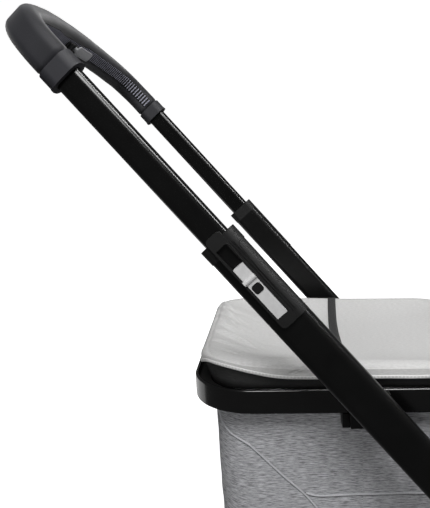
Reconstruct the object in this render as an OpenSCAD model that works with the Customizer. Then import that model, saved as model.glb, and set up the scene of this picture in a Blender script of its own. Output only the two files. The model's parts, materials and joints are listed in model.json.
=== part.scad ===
// Fabric basket carried between the side tubes of a telescoping push handle.
// Millimetres, +Z up. The handle leans towards -X, the near side is -Y.
// The origin is the middle of the base, on the surface that the feet stand on.

/* [Basket] */
// Length of the rim along X
basket_l = 416; // [360:1:480]
// Width of the rim along Y
basket_w = 370; // [320:1:430]
// Corner radius of the rim
corner_r = 78; // [60:1:100]
// Height of the rim's top edge above the floor
rim_top = 240; // [200:1:320]
// Height of the rim band
rim_h = 30; // [24:1:36]
// Width of the rim ring, seen from above
rim_ring = 23; // [18:1:30]
// Thickness of the rim's outer wall
rim_outer_wall = 5; // [3:0.5:7]
// Thickness of the rim's floor and inner wall
rim_wall = 3; // [2:0.5:4]
// How far the trim lies below the rim's top edge
trim_drop = 8; // [5:0.5:12]

/* [Tub] */
// Thickness of the outer fabric
skin = 2; // [1:0.5:3]
// Thickness of the wall stiffener
stiffener = 1.6; // [1:0.1:3]
// Thickness of the lining
lining = 1.5; // [1:0.1:3]
// Rounding of the tub's bottom edge
tub_edge_r = 10; // [6:1:14]
// Thickness of the base board
board = 5; // [4:0.5:8]
// Thickness of the foam pad on the base
pad = 18; // [10:1:30]
// Gap left between fabric layers
layer_gap = 0.2; // [0.1:0.1:0.5]
// Diameter of the raised piping cord
piping_d = 3; // [2:0.5:5]
// Height of the piping's level run below the rim's top edge
piping_drop = 148; // [110:1:170]

/* [Feet] */
// Height of a foot
foot_h = 6; // [4:1:12]
// Diameter of a foot
foot_d = 26; // [20:1:34]
// Distance between the outer feet along X
foot_x = 270; // [200:5:300]
// Distance between the outer feet along Y
foot_y = 220; // [160:5:250]

/* [Cover] */
// How far the cover's hem lies inside the rim's outer edge
hem_inset = 9.5; // [8:0.5:16]
// Height of the hem's lower edge above the rim
hem_low = 9; // [2:0.5:10]
// Height of the hem's upper edge above the rim
hem_high = 18; // [14:0.5:20]
// Height of the cover's top above the rim
cover_rise = 28; // [24:0.5:34]
// How far the cover's flat top lies inside its hem
cover_shoulder = 12; // [6:1:20]
// How deep the cover sags in the middle
cover_sag = 7; // [3:0.5:9]
// Thickness of the cover's fabric
cover_cloth = 2.5; // [1.5:0.5:4]
// Width of the hold-down strap
strap_w = 13; // [8:1:20]
// Thickness of the hold-down strap
strap_t = 1.2; // [0.8:0.2:2]
// Where the middle of the strap crosses the cover, along X
strap_x = -6; // [-8:0.5:0]
// Turn of the strap, seen from above
strap_turn = 2.2; // [0:0.1:2.2]

/* [Side tubes] */
// Angle of the side tubes above the horizontal
tube_angle = 50; // [45:1:58]
// Depth of a side tube, across its wide face
tube_d = 44; // [40:1:52]
// Thickness of a side tube
tube_t = 24; // [23:0.5:30]
// Corner radius of a side tube
tube_r = 9; // [7:0.5:10]
// Wall of a side tube
tube_wall = 1.8; // [1.4:0.1:2.4]
// Clear gap between the rim and a side tube
side_gap = 38; // [34:1:60]
// Length of a side tube above the rim's top plane
tube_above = 246.5; // [236:0.5:260]
// Length of a side tube below the rim's top plane
tube_below = 172; // [165:1:185]
// Radius of the eye at the lower end of a side tube
eye_r = 15; // [12:1:18]
// Radius of the bolt bore in that eye
eye_bore_r = 5; // [4:0.5:6]

/* [Hub] */
// Radius of the pivot pin
pin_r = 8; // [6:0.5:10]
// Radius of the pivot pin's head
pin_head_r = 11; // [10.5:0.5:12]
// Radius of the hub disc on a side tube
hub_r = 18; // [15:0.5:20]
// Thickness of the bracket's upright cheek
cheek_t = 14; // [12:1:18]
// How far that cheek reaches from the pivot, towards the handle
cheek_l = 31; // [31:1:36]
// How far it reaches from the pivot on its other side
cheek_r = 14; // [13:1:24]
// How far the bracket's foot under the rim reaches from the pivot, towards the handle
bracket_l = 39; // [37:1:50]
// How far that foot reaches from the pivot on its other side
bracket_r = 30; // [28:1:50]
// Height of the bracket's foot
bracket_h = 17; // [12:1:24]

/* [Handle] */
// Depth of the handle tube
arm_d = 31.3; // [28:0.1:33]
// Thickness of the handle tube
arm_t = 17; // [15:0.1:17.2]
// Corner radius of the handle tube
arm_r = 8; // [5:0.5:8]
// Wall of the handle tube
arm_wall = 1.6; // [1.2:0.1:2.4]
// Where the lower end of a handle arm lies on the tube line
arm_start = 60; // [50:1:75]
// Where the handle's bends begin on the tube line
arm_end = 504; // [495:1:560]
// Radius of the handle's bends
bend_r = 65; // [55:1:80]
// Half the angle of the handle's bowed crossbar
bow_angle = 17.5; // [10:0.5:25]
// How far below the bends the grip's collars begin
collar_below = 31; // [28:1:40]
// Length of a grip collar
collar_len = 20; // [14:1:26]
// Depth of the grip
grip_d = 39; // [37:0.5:44]
// Thickness of the grip
grip_t = 28; // [24:0.5:34]
// Width of the ribbed seam along the inside of the grip
seam_w = 9; // [6:0.5:12]

/* [Zip] */
// Where the zip slider lies across the basket
zip_y = -15; // [-40:1:20]
// Width of the zip slider
zip_w = 11; // [9:0.5:14]
// Length of the zip slider
zip_len = 28; // [24:1:34]
// Width of the pull tab
pull_w = 15; // [10:0.5:18]
// Length of the pull tab
pull_len = 56; // [30:1:62]

/* [Lock] */
// Width of the slider
slider_w = 13.4; // [12.5:0.1:14]
// Length of the slider
slider_len = 68.8; // [60:0.1:72]
// How far below the side tube's upper end the slider's lower end lies
slider_below = 103.5; // [100:0.5:105]
// Thickness of the slider
slider_t = 5.7; // [5.2:0.1:7]
// Travel of the slider
slider_travel = 14; // [10:1:16]
// Size of the release button
button_w = 10.4; // [8:0.1:10.6]
// Travel of the release button
button_travel = 1.2; // [0.8:0.1:1.4]
// Height of the button above the slider
button_proud = 0.6; // [0.4:0.1:1.2]

/* [Fits] */
// Running clearance of the pivot pin in its bore
pin_fit = 0.05; // [0.02:0.01:0.1]
// Clearance between parts that slide
slide_fit = 0.3; // [0.2:0.05:0.35]
// Clearance around pieces that are fixed to each other
seat_fit = 0.1; // [0.05:0.05:0.2]

/* [Hidden] */
$fn = 48;

// Side tubes and hub
tube_y = basket_w/2 + side_gap + tube_t/2;
hub_drop = rim_h/2;
hub_x = hub_drop/tan(tube_angle);
hub_z = rim_top - hub_drop;
bore_d = tube_d - 2*tube_wall;
bore_t = tube_t - 2*tube_wall;
bore_r = tube_r - tube_wall;
rim_y = basket_w/2;
cheek_y = rim_y + cheek_t;
head_t = 2.6;
pin_depth = 10;
eye_drop = 22;
plug_len = 25;

// Bracket and its screws
bracket_depth = 20;
screw_r = 2;
screw_head_r = 4;
screw_head_h = 3;
screw_y = rim_y - bracket_depth/2;
screw_edge = screw_head_r + 2;
bracket_z = rim_top - rim_h - bracket_h;

// Studs and snaps at the ends of the strap
stud_r = 3;
stud_h = 2.5;
stud_y = rim_y + cheek_t/2;
cheek_top = rim_top - 1;
cheek_low = bracket_z + 5;
snap_r = 5;
snap_h = 4;
snap_cap_r = 4.4;
snap_cap_h = 1.2;
post_r = 1.5;
snap_top = cheek_top + slide_fit + snap_h;

// Tub layers, each given by how far it lies inside the rim's outer edge
tub_in = rim_ring + 0.5;
stiffener_in = tub_in + skin + layer_gap;
lining_in = stiffener_in + stiffener + layer_gap;
pad_in = lining_in + lining + 1;
board_in = tub_in + tub_edge_r + layer_gap;
tub_top = rim_top - trim_drop;
board_z = foot_h + skin + seat_fit;
board_top = board_z + board;
lining_z = board_top + layer_gap;
pad_z = lining_z + lining + layer_gap;
wall_low = foot_h + tub_edge_r;

// Foot screws, which go down through the board into the feet
foot_head_h = 2.5;
foot_screw_z = 1.5;

// Cover
skirt_in = hem_inset + cover_cloth + slide_fit;
skirt_t = 1.5;
cover_base = rim_top + hem_low;
cover_top = rim_top + cover_rise;
top_in = hem_inset + cover_shoulder;
sag_in = top_in + 60;

// Handle
collar_start = arm_end - collar_below;
bow_r = (tube_y - bend_r*(1 - sin(bow_angle)))/sin(bow_angle);
grip_r = 11;
collar_d = grip_d + 3;
collar_t = grip_t + 3;
lip_h = 2.5;
lip_out = 0.6;
mid_t = arm_end + bend_r*cos(bow_angle) + bow_r*(1 - cos(bow_angle));
bend_steps = 9;
bow_steps = 6;
corner_steps = 6;
end_bush_len = 25;
bush_len = 45;
seam_t = 1;

// Zip slider and its pull on the inside of the crossbar
zip_lug = 1.5;
zip_rib_r = 3.2;
zip_bar_r = 1.2;
zip_plate = 2;
zip_eye_wall = 1.2;
zip_bar_z = zip_plate + zip_bar_r + zip_eye_wall + slide_fit;
zip_bar_y = zip_len/2 - zip_lug;
zip_gap = pow(abs(zip_y) + zip_len/2, 2)/(2*(bow_r - grip_t/2 - seam_t)) + 0.25;
pull_t = 2.2;
pull_lift = 1;

// Lock, with heights measured outwards from the tube's middle plane
face = tube_t/2;
slider_n = -1;
slider_start = tube_above - slider_below;
slider_low = face + slide_fit;
slider_top = slider_low + slider_t;
bezel_top = slider_top - 0.5;
slider_floor = 0.7;
bezel_w = 19.5;
bezel_n = -0.8;
bezel_low = slider_start - 13;
tongue = 6.5;
panel_top = 15;
housing_ring = 18;
housing_wall = 0.7;
housing_cap = 3.5;
slot_above = 26;
button_t = 3;
button_at = slider_start + 0.555*slider_len;
button_fit = 0.25;
button_r = 3;
ridge_at = slider_start + 0.727*slider_len;
ridge_r = 3;
ridge_w = slider_w + 2;
stem_r = 2.5;
stem_at = slider_start + 15;
clamp_len = 30;
clamp_w = 8;
clamp_face = arm_t/2 + slide_fit;
spring_wire = 0.33;
spring_r = 2.6;

// Piping route on a quarter of the tub: distance along the wall from the middle
// of the side, and height below the rim's top edge
piping_half = 72;
piping_route = [[30, 208], [48, 180], [piping_half, piping_drop], [100, 122], [126, 94], [138, 82],
    [150, 76], [168, 70], [184, 60], [192, 44], [194, 31.5]];
piping_sides = 8;

// ---- Outlines ----

// Rectangle with true round corners
module rrect(l, w, r) {
    square([l - 2*r, w], center = true);
    square([l, w - 2*r], center = true);
    for (x = [-1, 1], y = [-1, 1])
        translate([x*(l/2 - r), y*(w/2 - r)]) circle(r);
}

// The rim's outline, drawn inset by a distance
module basket_outline(inset) {
    rrect(basket_l - 2*inset, basket_w - 2*inset, corner_r - inset);
}

// A plate with that outline
module basket_plate(inset, z, h) {
    translate([0, 0, z]) linear_extrude(h) basket_outline(inset);
}

// A 2D profile carried round the rim's outline; x = 0 is the rim's outer edge
module around_rim() {
    flat_x = basket_l - 2*corner_r;
    flat_y = basket_w - 2*corner_r;
    for (s = [0, 180]) rotate(s) {
        translate([basket_l/2, flat_y/2, 0]) rotate([90, 0, 0]) linear_extrude(flat_y) children();
        translate([flat_x/2, flat_y/2, 0])
            rotate_extrude(angle = 90) translate([corner_r, 0]) children();
        translate([-flat_x/2, flat_y/2, 0])
            rotate(90) rotate_extrude(angle = 90) translate([corner_r, 0]) children();
        rotate(90) translate([basket_w/2, flat_x/2, 0]) rotate([90, 0, 0])
            linear_extrude(flat_x) children();
    }
}

// ---- Places ----

// Near side tube: x is across the wide face, -y outwards and z along the tube
module on_near_tube() {
    translate([0, -tube_y, rim_top]) rotate([0, tube_angle - 90, 0]) children();
}

// Middle plane of the handle, with z along the tubes and y across the basket
module on_handle() {
    translate([0, 0, rim_top]) rotate([0, tube_angle - 90, 0]) children();
}

// The same piece on the far side
module far_side() {
    mirror([0, 1, 0]) children();
}

module both_sides() {
    children();
    far_side() children();
}

// Cylinder along Y, from y0 outwards on the near side to y1
module near_pin(r, y0, y1) {
    translate([0, -y0, 0]) rotate([90, 0, 0]) cylinder(r = r, h = y1 - y0);
}

// ---- Swept tubes ----

// A tube through rings of points, closed at both ends
module ring_tube(rings) {
    n = len(rings);
    m = len(rings[0]);
    ends = [[for (k = [0:m - 1]) k], [for (k = [m - 1:-1:0]) (n - 1)*m + k]];
    sides = [for (i = [0:n - 2], k = [0:m - 1]) let (a = i*m + k, b = i*m + (k + 1) % m)
        each [[a, a + m, b], [b, a + m, b + m]]];
    polyhedron([for (r = rings) each r], concat(ends, sides));
}

// Places along the handle from one arm's lower end to the other's, each as
// [across, along the tube line, heading]; the heading turns from up to across
function near_places(from) =
    let (turn = 90 - bow_angle, y0 = bend_r*(1 - cos(turn)) - tube_y,
        t0 = arm_end + bend_r*sin(turn))
    concat([[-tube_y, from, 0]],
        [for (i = [0:bend_steps]) let (h = turn*i/bend_steps)
            [bend_r*(1 - cos(h)) - tube_y, arm_end + bend_r*sin(h), h]],
        [for (i = [1:bow_steps]) let (h = turn + bow_angle*i/bow_steps)
            [y0 + bow_r*(cos(turn) - cos(h)), t0 + bow_r*(sin(h) - sin(turn)), h]]);

function loop_places(from) =
    let (near = near_places(from), n = len(near))
    concat(near, [for (i = [n - 2:-1:0]) [-near[i][0], near[i][1], 180 - near[i][2]]]);

// Corner points of a rounded rectangle, anticlockwise
function rrect_points(l, w, r) =
    [for (q = [0:3], i = [0:corner_steps]) let (a = 90*(q + i/corner_steps))
        [(q == 0 || q == 3 ? 1 : -1)*(l/2 - r) + r*cos(a), (q < 2 ? 1 : -1)*(w/2 - r) + r*sin(a)]];

// A section carried round the handle; its x points out of the loop
module loop(from, section) {
    on_handle() ring_tube([for (p = loop_places(from))
        [for (q = section) [q[1], p[0] - q[0]*cos(p[2]), p[1] + q[0]*sin(p[2])]]]);
}

// ---- Basket ----

module rim_frame() {
    color("#16161a") difference() {
        translate([0, 0, rim_top - rim_h]) around_rim() rim_profile();
        at_bracket_screws() cylinder(r = screw_r + seat_fit, h = bracket_h + rim_wall + 1);
    }
}

// Open channel: tall rounded outer wall, floor and lower inner wall
module rim_profile() {
    top_r = rim_outer_wall/2;
    translate([-rim_outer_wall, top_r]) square([rim_outer_wall, rim_h - 2*top_r]);
    translate([-top_r, rim_h - top_r]) circle(top_r);
    translate([-top_r, top_r]) circle(top_r);
    translate([-rim_ring, 0]) square([rim_ring - top_r, rim_wall]);
    translate([-rim_ring, 0]) square([rim_wall, rim_h - trim_drop]);
}

module rim_trim() {
    bottom = rim_wall + seat_fit;
    color("#0d0d0f") translate([0, 0, rim_top - rim_h]) around_rim()
        translate([-rim_ring + rim_wall + seat_fit, bottom])
            square([rim_ring - rim_wall - rim_outer_wall - 2*seat_fit, rim_h - trim_drop - bottom]);
}

// Upright wall with the outline of the tub
module tub_wall(inset, wall, low, high) {
    translate([0, 0, low]) linear_extrude(high - low) difference() {
        basket_outline(inset);
        basket_outline(inset + wall);
    }
}

module fabric_tub() {
    color("#8d8f92") tub_wall(tub_in, skin, wall_low, tub_top);
}

// Fabric under the base, with its edge turned up
module fabric_base() {
    color("#8d8f92") difference() {
        union() {
            around_rim() translate([-tub_in - tub_edge_r, wall_low]) edge_profile();
            basket_plate(tub_in + tub_edge_r, foot_h, skin);
        }
        at_feet() screw_hole(foot_h, skin);
    }
}

module edge_profile() {
    intersection() {
        difference() {
            circle(tub_edge_r);
            circle(tub_edge_r - skin);
        }
        translate([0, -tub_edge_r]) square(tub_edge_r);
    }
}

module tub_stiffener() {
    color("#5c5e60") tub_wall(stiffener_in, stiffener, wall_low, tub_top - 2);
}

module tub_lining() {
    color("#a9aaad") difference() {
        basket_plate(lining_in, lining_z, tub_top - lining_z);
        basket_plate(lining_in + lining, lining_z + lining, tub_top);
    }
}

module base_board() {
    color("#3a3b3d") difference() {
        basket_plate(board_in, board_z, board);
        at_feet() {
            screw_hole(board_z, board);
            translate([0, 0, board_top - foot_head_h - seat_fit])
                cylinder(r = screw_head_r + seat_fit, h = foot_head_h + 1);
        }
    }
}

module base_pad() {
    color("#b4b5b7") basket_plate(pad_in, pad_z, pad);
}

// Four feet near the corners and one in the middle
module at_feet() {
    for (x = [-1, 1], y = [-1, 1]) translate([x*foot_x/2, y*foot_y/2, 0]) children();
    children();
}

// Clearance hole of a foot screw through a layer
module screw_hole(z, h) {
    translate([0, 0, z - 1]) cylinder(r = screw_r + seat_fit, h = h + 2);
}

module base_feet() {
    color("#1b1b1d") at_feet() difference() {
        cylinder(d = foot_d, h = foot_h);
        translate([0, 0, foot_screw_z - seat_fit]) cylinder(r = screw_r + seat_fit, h = foot_h);
    }
}

module foot_screws() {
    color("#8a8c90") at_feet() {
        translate([0, 0, foot_screw_z]) cylinder(r = screw_r, h = board_top - foot_screw_z);
        translate([0, 0, board_top - foot_head_h]) cylinder(r = screw_head_r, h = foot_head_h);
    }
}

// Point of the tub's wall: s runs from the middle of the near side towards -X,
// out is the distance outside the wall
function wall_point(s, out) =
    let (r = corner_r - tub_in, flat = basket_l/2 - corner_r, arc = r*PI/2, turn = (s - flat)/r*180/PI,
        y0 = -(basket_w/2 - corner_r))
    s < flat ? [-s, y0 - r - out] :
    s < flat + arc ? [-flat - (r + out)*sin(turn), y0 - (r + out)*cos(turn)] :
    [-flat - r - out, y0 + s - flat - arc];

// Outward direction of the wall at s
function wall_normal(s) = wall_point(s, 1) - wall_point(s, 0);

// Smooth curve through four neighbouring values
function spline(a, b, c, d, u) =
    0.5*(2*b + (c - a)*u + (2*a - 5*b + 4*c - d)*u*u + (3*b - a - 3*c + d)*u*u*u);

function route_at(p, i, u) =
    let (n = len(p) - 1)
    spline(p[max(i - 1, 0)], p[i], p[i + 1], p[min(i + 2, n)], u);

// Ring of points round the piping at a place on the wall
function piping_ring(place) =
    let (mid = wall_point(place[0], piping_d/2 + seat_fit), n = wall_normal(place[0]),
        along = [n[1], -n[0]], r = piping_d/2)
    [for (k = [0:piping_sides - 1]) let (a = 360*k/piping_sides)
        [mid[0] + r*cos(a)*n[0] + r*sin(a)*along[0]*place[2],
         mid[1] + r*cos(a)*n[1] + r*sin(a)*along[1]*place[2],
         rim_top - place[1] + r*sin(a)*place[3]]];

// Piping along one run, given as wall distance and depth
module piping_run(route, steps) {
    places = concat([for (i = [0:len(route) - 2], k = [0:steps - 1]) route_at(route, i, k/steps)],
        [route[len(route) - 1]]);
    last = len(places) - 1;
    rings = [for (i = [0:last])
        let (d = places[min(i + 1, last)] - places[max(i - 1, 0)], l = norm(d))
        piping_ring([places[i][0], places[i][1], d[1]/l, d[0]/l])];
    ring_tube(rings);
}

module tub_piping() {
    reach = piping_half - 2*piping_d;
    color("#a3a4a6") both_sides() {
        for (s = [0, 1]) mirror([s, 0, 0]) piping_run(piping_route, 2);
        translate([-reach, -(basket_w/2 - tub_in) - piping_d/2 - seat_fit, rim_top - piping_drop])
            rotate([0, 90, 0]) cylinder(d = piping_d, h = 2*reach);
    }
}

// ---- Hub brackets on the rim ----

module near_hub_bracket() {
    color("#1a1a1c") difference() {
        union() {
            translate([hub_x - bracket_l, -rim_y, bracket_z])
                cube([bracket_l + bracket_r, bracket_depth, bracket_h]);
            translate([hub_x - cheek_l, -cheek_y, cheek_low])
                cube([cheek_l + cheek_r, cheek_t, cheek_top - cheek_low]);
        }
        translate([hub_x, 0, hub_z]) {
            near_pin(pin_r + pin_fit, rim_y - 1, cheek_y + 1);
            near_pin(pin_head_r + slide_fit, rim_y - 1, rim_y + head_t + 2*slide_fit);
        }
        at_bracket_screws() translate([0, 0, -1]) {
            cylinder(r = screw_r + seat_fit, h = bracket_h + 2);
            cylinder(r = screw_head_r + seat_fit, h = screw_head_h + 1);
        }
    }
}

// Four places under the brackets
module at_bracket_screws() {
    for (s = [-1, 1], x = [screw_edge - bracket_l, bracket_r - screw_edge])
        translate([hub_x + x, s*screw_y, bracket_z]) children();
}

module bracket_screws() {
    color("#8a8c90") at_bracket_screws() {
        cylinder(r = screw_head_r, h = screw_head_h);
        cylinder(r = screw_r, h = bracket_h + rim_wall);
    }
}

// Where the two ends of the strap lie
module at_studs() {
    for (s = [-1, 1])
        translate([strap_x + s*stud_y*tan(strap_turn), s*stud_y, cheek_top]) children();
}

module strap_studs() {
    color("#b8babd") at_studs() cylinder(r = stud_r, h = stud_h);
}

// ---- Cover ----

module cover() {
    color("#b9b8b6") difference() {
        cover_form(0);
        cover_form(cover_cloth);
    }
}

// Solid form of the cover, drawn smaller by a distance
module cover_form(less) {
    cut = less > 0 ? 1 : 0;
    difference() {
        hull() {
            basket_plate(hem_inset + less, cover_base - cut, hem_high - hem_low + cut);
            basket_plate(top_in + less, cover_top - less - 1, 1);
        }
        hull() {
            basket_plate(top_in, cover_top - less, 1);
            basket_plate(sag_in, cover_top - cover_sag - less, 1);
        }
    }
}

module cover_skirt() {
    color("#6f7072") tub_wall(skirt_in, skirt_t, rim_top - trim_drop + slide_fit, cover_base + 5);
}

// Side view of the strap: over the cover and down to the snaps
module strap_profile() {
    gap = 0.4;
    knee = rim_y - hem_inset + 1.5;
    crest = rim_y - top_in + 1;
    low = snap_top;
    over = rim_top + hem_high + 1.2;
    high = cover_top + gap;
    dip = rim_y - sag_in;
    end = stud_y + snap_r + 1;
    under = [[dip, high - cover_sag], [crest, high], [knee, over], [knee + 8, low], [end, low]];
    upper = [[end, low], [knee + 8.6, low], [knee + 0.6, over], [crest, high], [dip, high - cover_sag]];
    half = concat(under, [for (p = upper) [p[0], p[1] + strap_t]]);
    polygon(concat(half, [for (i = [len(half) - 1:-1:0]) [-half[i][0], half[i][1]]]));
}

module hold_down_strap() {
    color("#3c3d40") difference() {
        translate([strap_x, 0, 0]) rotate(-strap_turn)
            rotate([90, 0, 90]) translate([0, 0, -strap_w/2]) linear_extrude(strap_w) strap_profile();
        at_studs() cylinder(r = post_r + seat_fit, h = cover_rise);
    }
}

module strap_snaps() {
    color("#c2c4c7") at_studs() translate([0, 0, slide_fit]) difference() {
        union() {
            cylinder(r = snap_r, h = snap_h);
            cylinder(r = post_r, h = snap_h + strap_t + 1);
            translate([0, 0, snap_h + strap_t]) cylinder(r = snap_cap_r, h = snap_cap_h);
        }
        translate([0, 0, -1]) cylinder(r = stud_r + slide_fit, h = stud_h + slide_fit + 1);
    }
}

// ---- Side tubes ----

// Section of a side tube, and of its bore
module tube_outline() {
    rrect(tube_d, tube_t, tube_r);
}

module bore_outline(less) {
    rrect(bore_d - 2*less, bore_t - 2*less, bore_r - less);
}

// Section of a handle arm, drawn larger by a distance
module arm_outline(more) {
    rrect(arm_d + 2*more, arm_t + 2*more, arm_r + more);
}

module near_side_tube() {
    color("#17171a") on_near_tube() difference() {
        translate([0, 0, -tube_below])
            linear_extrude(tube_below + tube_above - housing_cap) difference() {
                tube_outline();
                bore_outline(0);
            }
        stem_slot();
    }
}

// Slot in the tube's outer wall for the clamp's stem
module stem_slot() {
    r = stem_r + 0.5;
    depth = tube_wall + 2;
    translate([0, -face - 1, stem_at]) {
        for (z = [0, slider_travel])
            translate([0, 0, z]) rotate([-90, 0, 0]) cylinder(r = r, h = depth);
        translate([-r, 0, 0]) cube([2*r, depth, slider_travel]);
    }
}

module near_hub_disc() {
    inner = cheek_y + slide_fit;
    color("#232326") translate([hub_x, 0, hub_z]) difference() {
        near_pin(hub_r, inner, tube_y - face);
        near_pin(pin_r, inner - 1, inner + pin_depth);
    }
}

module near_pivot_pin() {
    color("#9b9da1") translate([hub_x, 0, hub_z]) {
        near_pin(pin_head_r, rim_y + slide_fit, rim_y + slide_fit + head_t);
        near_pin(pin_r, rim_y + slide_fit, cheek_y + slide_fit + pin_depth);
    }
}

// Plug in the tube's lower end, with an eye for the bolt of what carries the frame
module near_end_eye() {
    color("#2a2a2d") on_near_tube() translate([0, 0, -tube_below]) difference() {
        union() {
            linear_extrude(plug_len) bore_outline(seat_fit);
            translate([0, 0, -4]) linear_extrude(4) tube_outline();
            translate([-eye_r, -tube_t/2, -eye_drop]) cube([2*eye_r, tube_t, eye_drop - 4]);
            translate([0, tube_t/2, -eye_drop]) rotate([90, 0, 0]) cylinder(r = eye_r, h = tube_t);
        }
        translate([0, tube_t/2 + 1, -eye_drop]) rotate([90, 0, 0])
            cylinder(r = eye_bore_r, h = tube_t + 2);
    }
}

// ---- Lock ----

module near_lock_housing() {
    color("#3b3c3f") on_near_tube() difference() {
        union() {
            translate([0, 0, tube_above - housing_ring]) linear_extrude(housing_ring) housing_outline();
            translate([0, 0, bezel_low]) linear_extrude(tube_above - bezel_low) wrap_outline();
            bezel();
            for (n = [bezel_n + bezel_w/2 + 1.5, bezel_n + bezel_w/2 + 4.2])
                translate([n, -panel_top - 0.5, slider_start - 4])
                    cube([0.9, 3, slot_above + slider_len]);
        }
        translate([0, 0, -tube_below])
            linear_extrude(tube_below + tube_above - housing_cap) tube_outline();
        linear_extrude(2*tube_above) arm_outline(slide_fit + 0.1);
        translate([slider_n - slider_w/2 - 0.4, -slider_top - 2, slider_start - 0.6])
            cube([slider_w + 0.8, slider_top + 2 - face, slider_len + slot_above]);
    }
}

module housing_outline() {
    rrect(tube_d + 2*housing_wall, tube_t + 2*housing_wall, tube_r + housing_wall);
}

// Shell that wraps the tube's upper edge beside the slider
module wrap_outline() {
    intersection() {
        rrect(tube_d + 2*housing_wall, 2*panel_top, tube_r + 2);
        translate([0, -panel_top - 1]) square([tube_d, panel_top - 3]);
    }
}

// Raised frame round the slider, with a rounded tongue above the tube's end
module bezel() {
    low = 4;
    len = tube_above + tongue - bezel_low;
    translate([bezel_n, -low, bezel_low + len/2]) rotate([90, 0, 0])
        linear_extrude(bezel_top - low) rrect(bezel_w, len, 5);
}

module near_guide_bush() {
    color("#101012") on_near_tube() translate([0, 0, tube_above - housing_cap - bush_len])
        linear_extrude(bush_len) difference() {
            bore_outline(seat_fit);
            arm_outline(slide_fit);
        }
}

module near_lock_slider() {
    color("#c4c7c9") on_near_tube() difference() {
        union() {
            translate([slider_n, -slider_low, slider_start + slider_len/2]) rotate([90, 0, 0])
                linear_extrude(slider_t) rrect(slider_w, slider_len, 1);
            slider_ridge();
        }
        translate([slider_n, -slider_low - slider_floor, button_at]) rotate([90, 0, 0])
            linear_extrude(slider_t) offset(delta = button_fit) rrect(button_w, button_w, button_r);
    }
}

// Raised thumb ridge across the slider
module slider_ridge() {
    translate([slider_n - ridge_w/2 - 0.5, -slider_top, ridge_at]) rotate([0, 90, 0])
        linear_extrude(ridge_w) intersection() {
            circle(ridge_r);
            translate([-ridge_r, -ridge_r]) square([2*ridge_r, ridge_r + seat_fit]);
        }
}

module near_lock_button() {
    top = slider_top + button_proud;
    color("#141416") on_near_tube() translate([slider_n, -top + button_t, button_at]) rotate([90, 0, 0])
        linear_extrude(button_t) rrect(button_w, button_w, button_r);
}

module near_button_spring() {
    low = slider_low + slider_floor + spring_wire;
    color("#9fa1a5") on_near_tube() translate([slider_n, -low, button_at]) rotate([90, 0, 0])
        for (k = [0, 1]) translate([0, 0, 2*k*spring_wire])
            rotate_extrude() translate([spring_r, 0]) circle(spring_wire, $fn = 16);
}

// Friction pad that the slider draws along the handle arm, with its stem
module near_clamp_pad() {
    color("#55575b") on_near_tube() {
        translate([-clamp_w/2, -bore_t/2 + slide_fit, stem_at - 8])
            cube([clamp_w, bore_t/2 - slide_fit - clamp_face, clamp_len]);
        translate([0, -bore_t/2 + slide_fit, stem_at]) rotate([90, 0, 0])
            cylinder(r = stem_r, h = slider_low - bore_t/2 + slide_fit);
    }
}

// ---- Handle ----

module handle_tube() {
    color("#141417") difference() {
        loop(arm_start, rrect_points(arm_t, arm_d, arm_r));
        loop(arm_start - 1, rrect_points(arm_t - 2*arm_wall, arm_d - 2*arm_wall, arm_r - arm_wall));
    }
}

module handle_end_bushes() {
    color("#101012") both_sides() on_near_tube() translate([0, 0, arm_start])
        linear_extrude(end_bush_len) difference() {
            bore_outline(slide_fit);
            arm_outline(seat_fit);
        }
}

module grip_cover() {
    from = collar_start + collar_len;
    color("#404145") difference() {
        loop(from, rrect_points(grip_t, grip_d, grip_r));
        loop(from - 1, rrect_points(arm_t + 2*seat_fit, arm_d + 2*seat_fit, arm_r + seat_fit));
    }
}

// Ribbed seam along the inside of the grip
module grip_seam() {
    inner = -grip_t/2;
    color("#2b2c30") loop(collar_start + collar_len,
        [[inner, seam_w/2], [inner - seam_t, seam_w/2],
            [inner - seam_t, -seam_w/2], [inner, -seam_w/2]]);
}

module near_grip_collar() {
    color("#3a3b3f") on_near_tube() translate([0, 0, collar_start]) difference() {
        union() {
            linear_extrude(collar_len) rrect(collar_d, collar_t, grip_r + 1.5);
            linear_extrude(lip_h)
                rrect(collar_d + 2*lip_out, collar_t + 2*lip_out, grip_r + 1.5 + lip_out);
        }
        translate([0, 0, -1]) linear_extrude(collar_len + 2) arm_outline(seat_fit);
    }
}

// Place on the inside of the crossbar: z points away from the grip, y across the basket
module at_zip() {
    on_handle() translate([0, zip_y, mid_t - grip_t/2 - seam_t - zip_gap]) rotate([0, 180, 0])
        children();
}

// Cylinder across the zip, centred on its middle
module zip_pin(r, w, y, z) {
    translate([-w/2, y, z]) rotate([0, 90, 0]) cylinder(r = r, h = w);
}

// Slider of the zip that closes the grip, with two ribs and the bar for its pull
module zip_slider() {
    color("#0e0e10") at_zip() {
        translate([-zip_w/2, -zip_len/2, 0]) cube([zip_w, zip_len, zip_plate]);
        for (y = [-zip_len/4, zip_len/12]) zip_pin(zip_rib_r, zip_w, y, zip_rib_r);
        for (x = [-zip_w/2, zip_w/2 - zip_lug]) translate([x, zip_bar_y - zip_lug, 0])
            cube([zip_lug, 2*zip_lug, zip_bar_z + zip_lug]);
        zip_pin(zip_bar_r, zip_w, zip_bar_y, zip_bar_z);
    }
}

// Pull tab on that bar, lying along the crossbar
module zip_pull() {
    eye_w = zip_w - 2*zip_lug - 2*slide_fit;
    color("#4a4b4f") at_zip() translate([0, zip_bar_y, zip_bar_z]) rotate([pull_lift, 0, 0])
    difference() {
        union() {
            zip_pin(zip_bar_r + zip_eye_wall, eye_w, 0, 0);
            translate([-eye_w/2, 0, -pull_t/2]) cube([eye_w, 8, pull_t]);
            translate([0, 6 + pull_len/2, -pull_t/2])
                linear_extrude(pull_t) rrect(pull_w, pull_len, pull_w/3);
        }
        zip_pin(zip_bar_r + pin_fit, zip_w, 0, 0);
    }
}

// ---- Assembly ----

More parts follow.
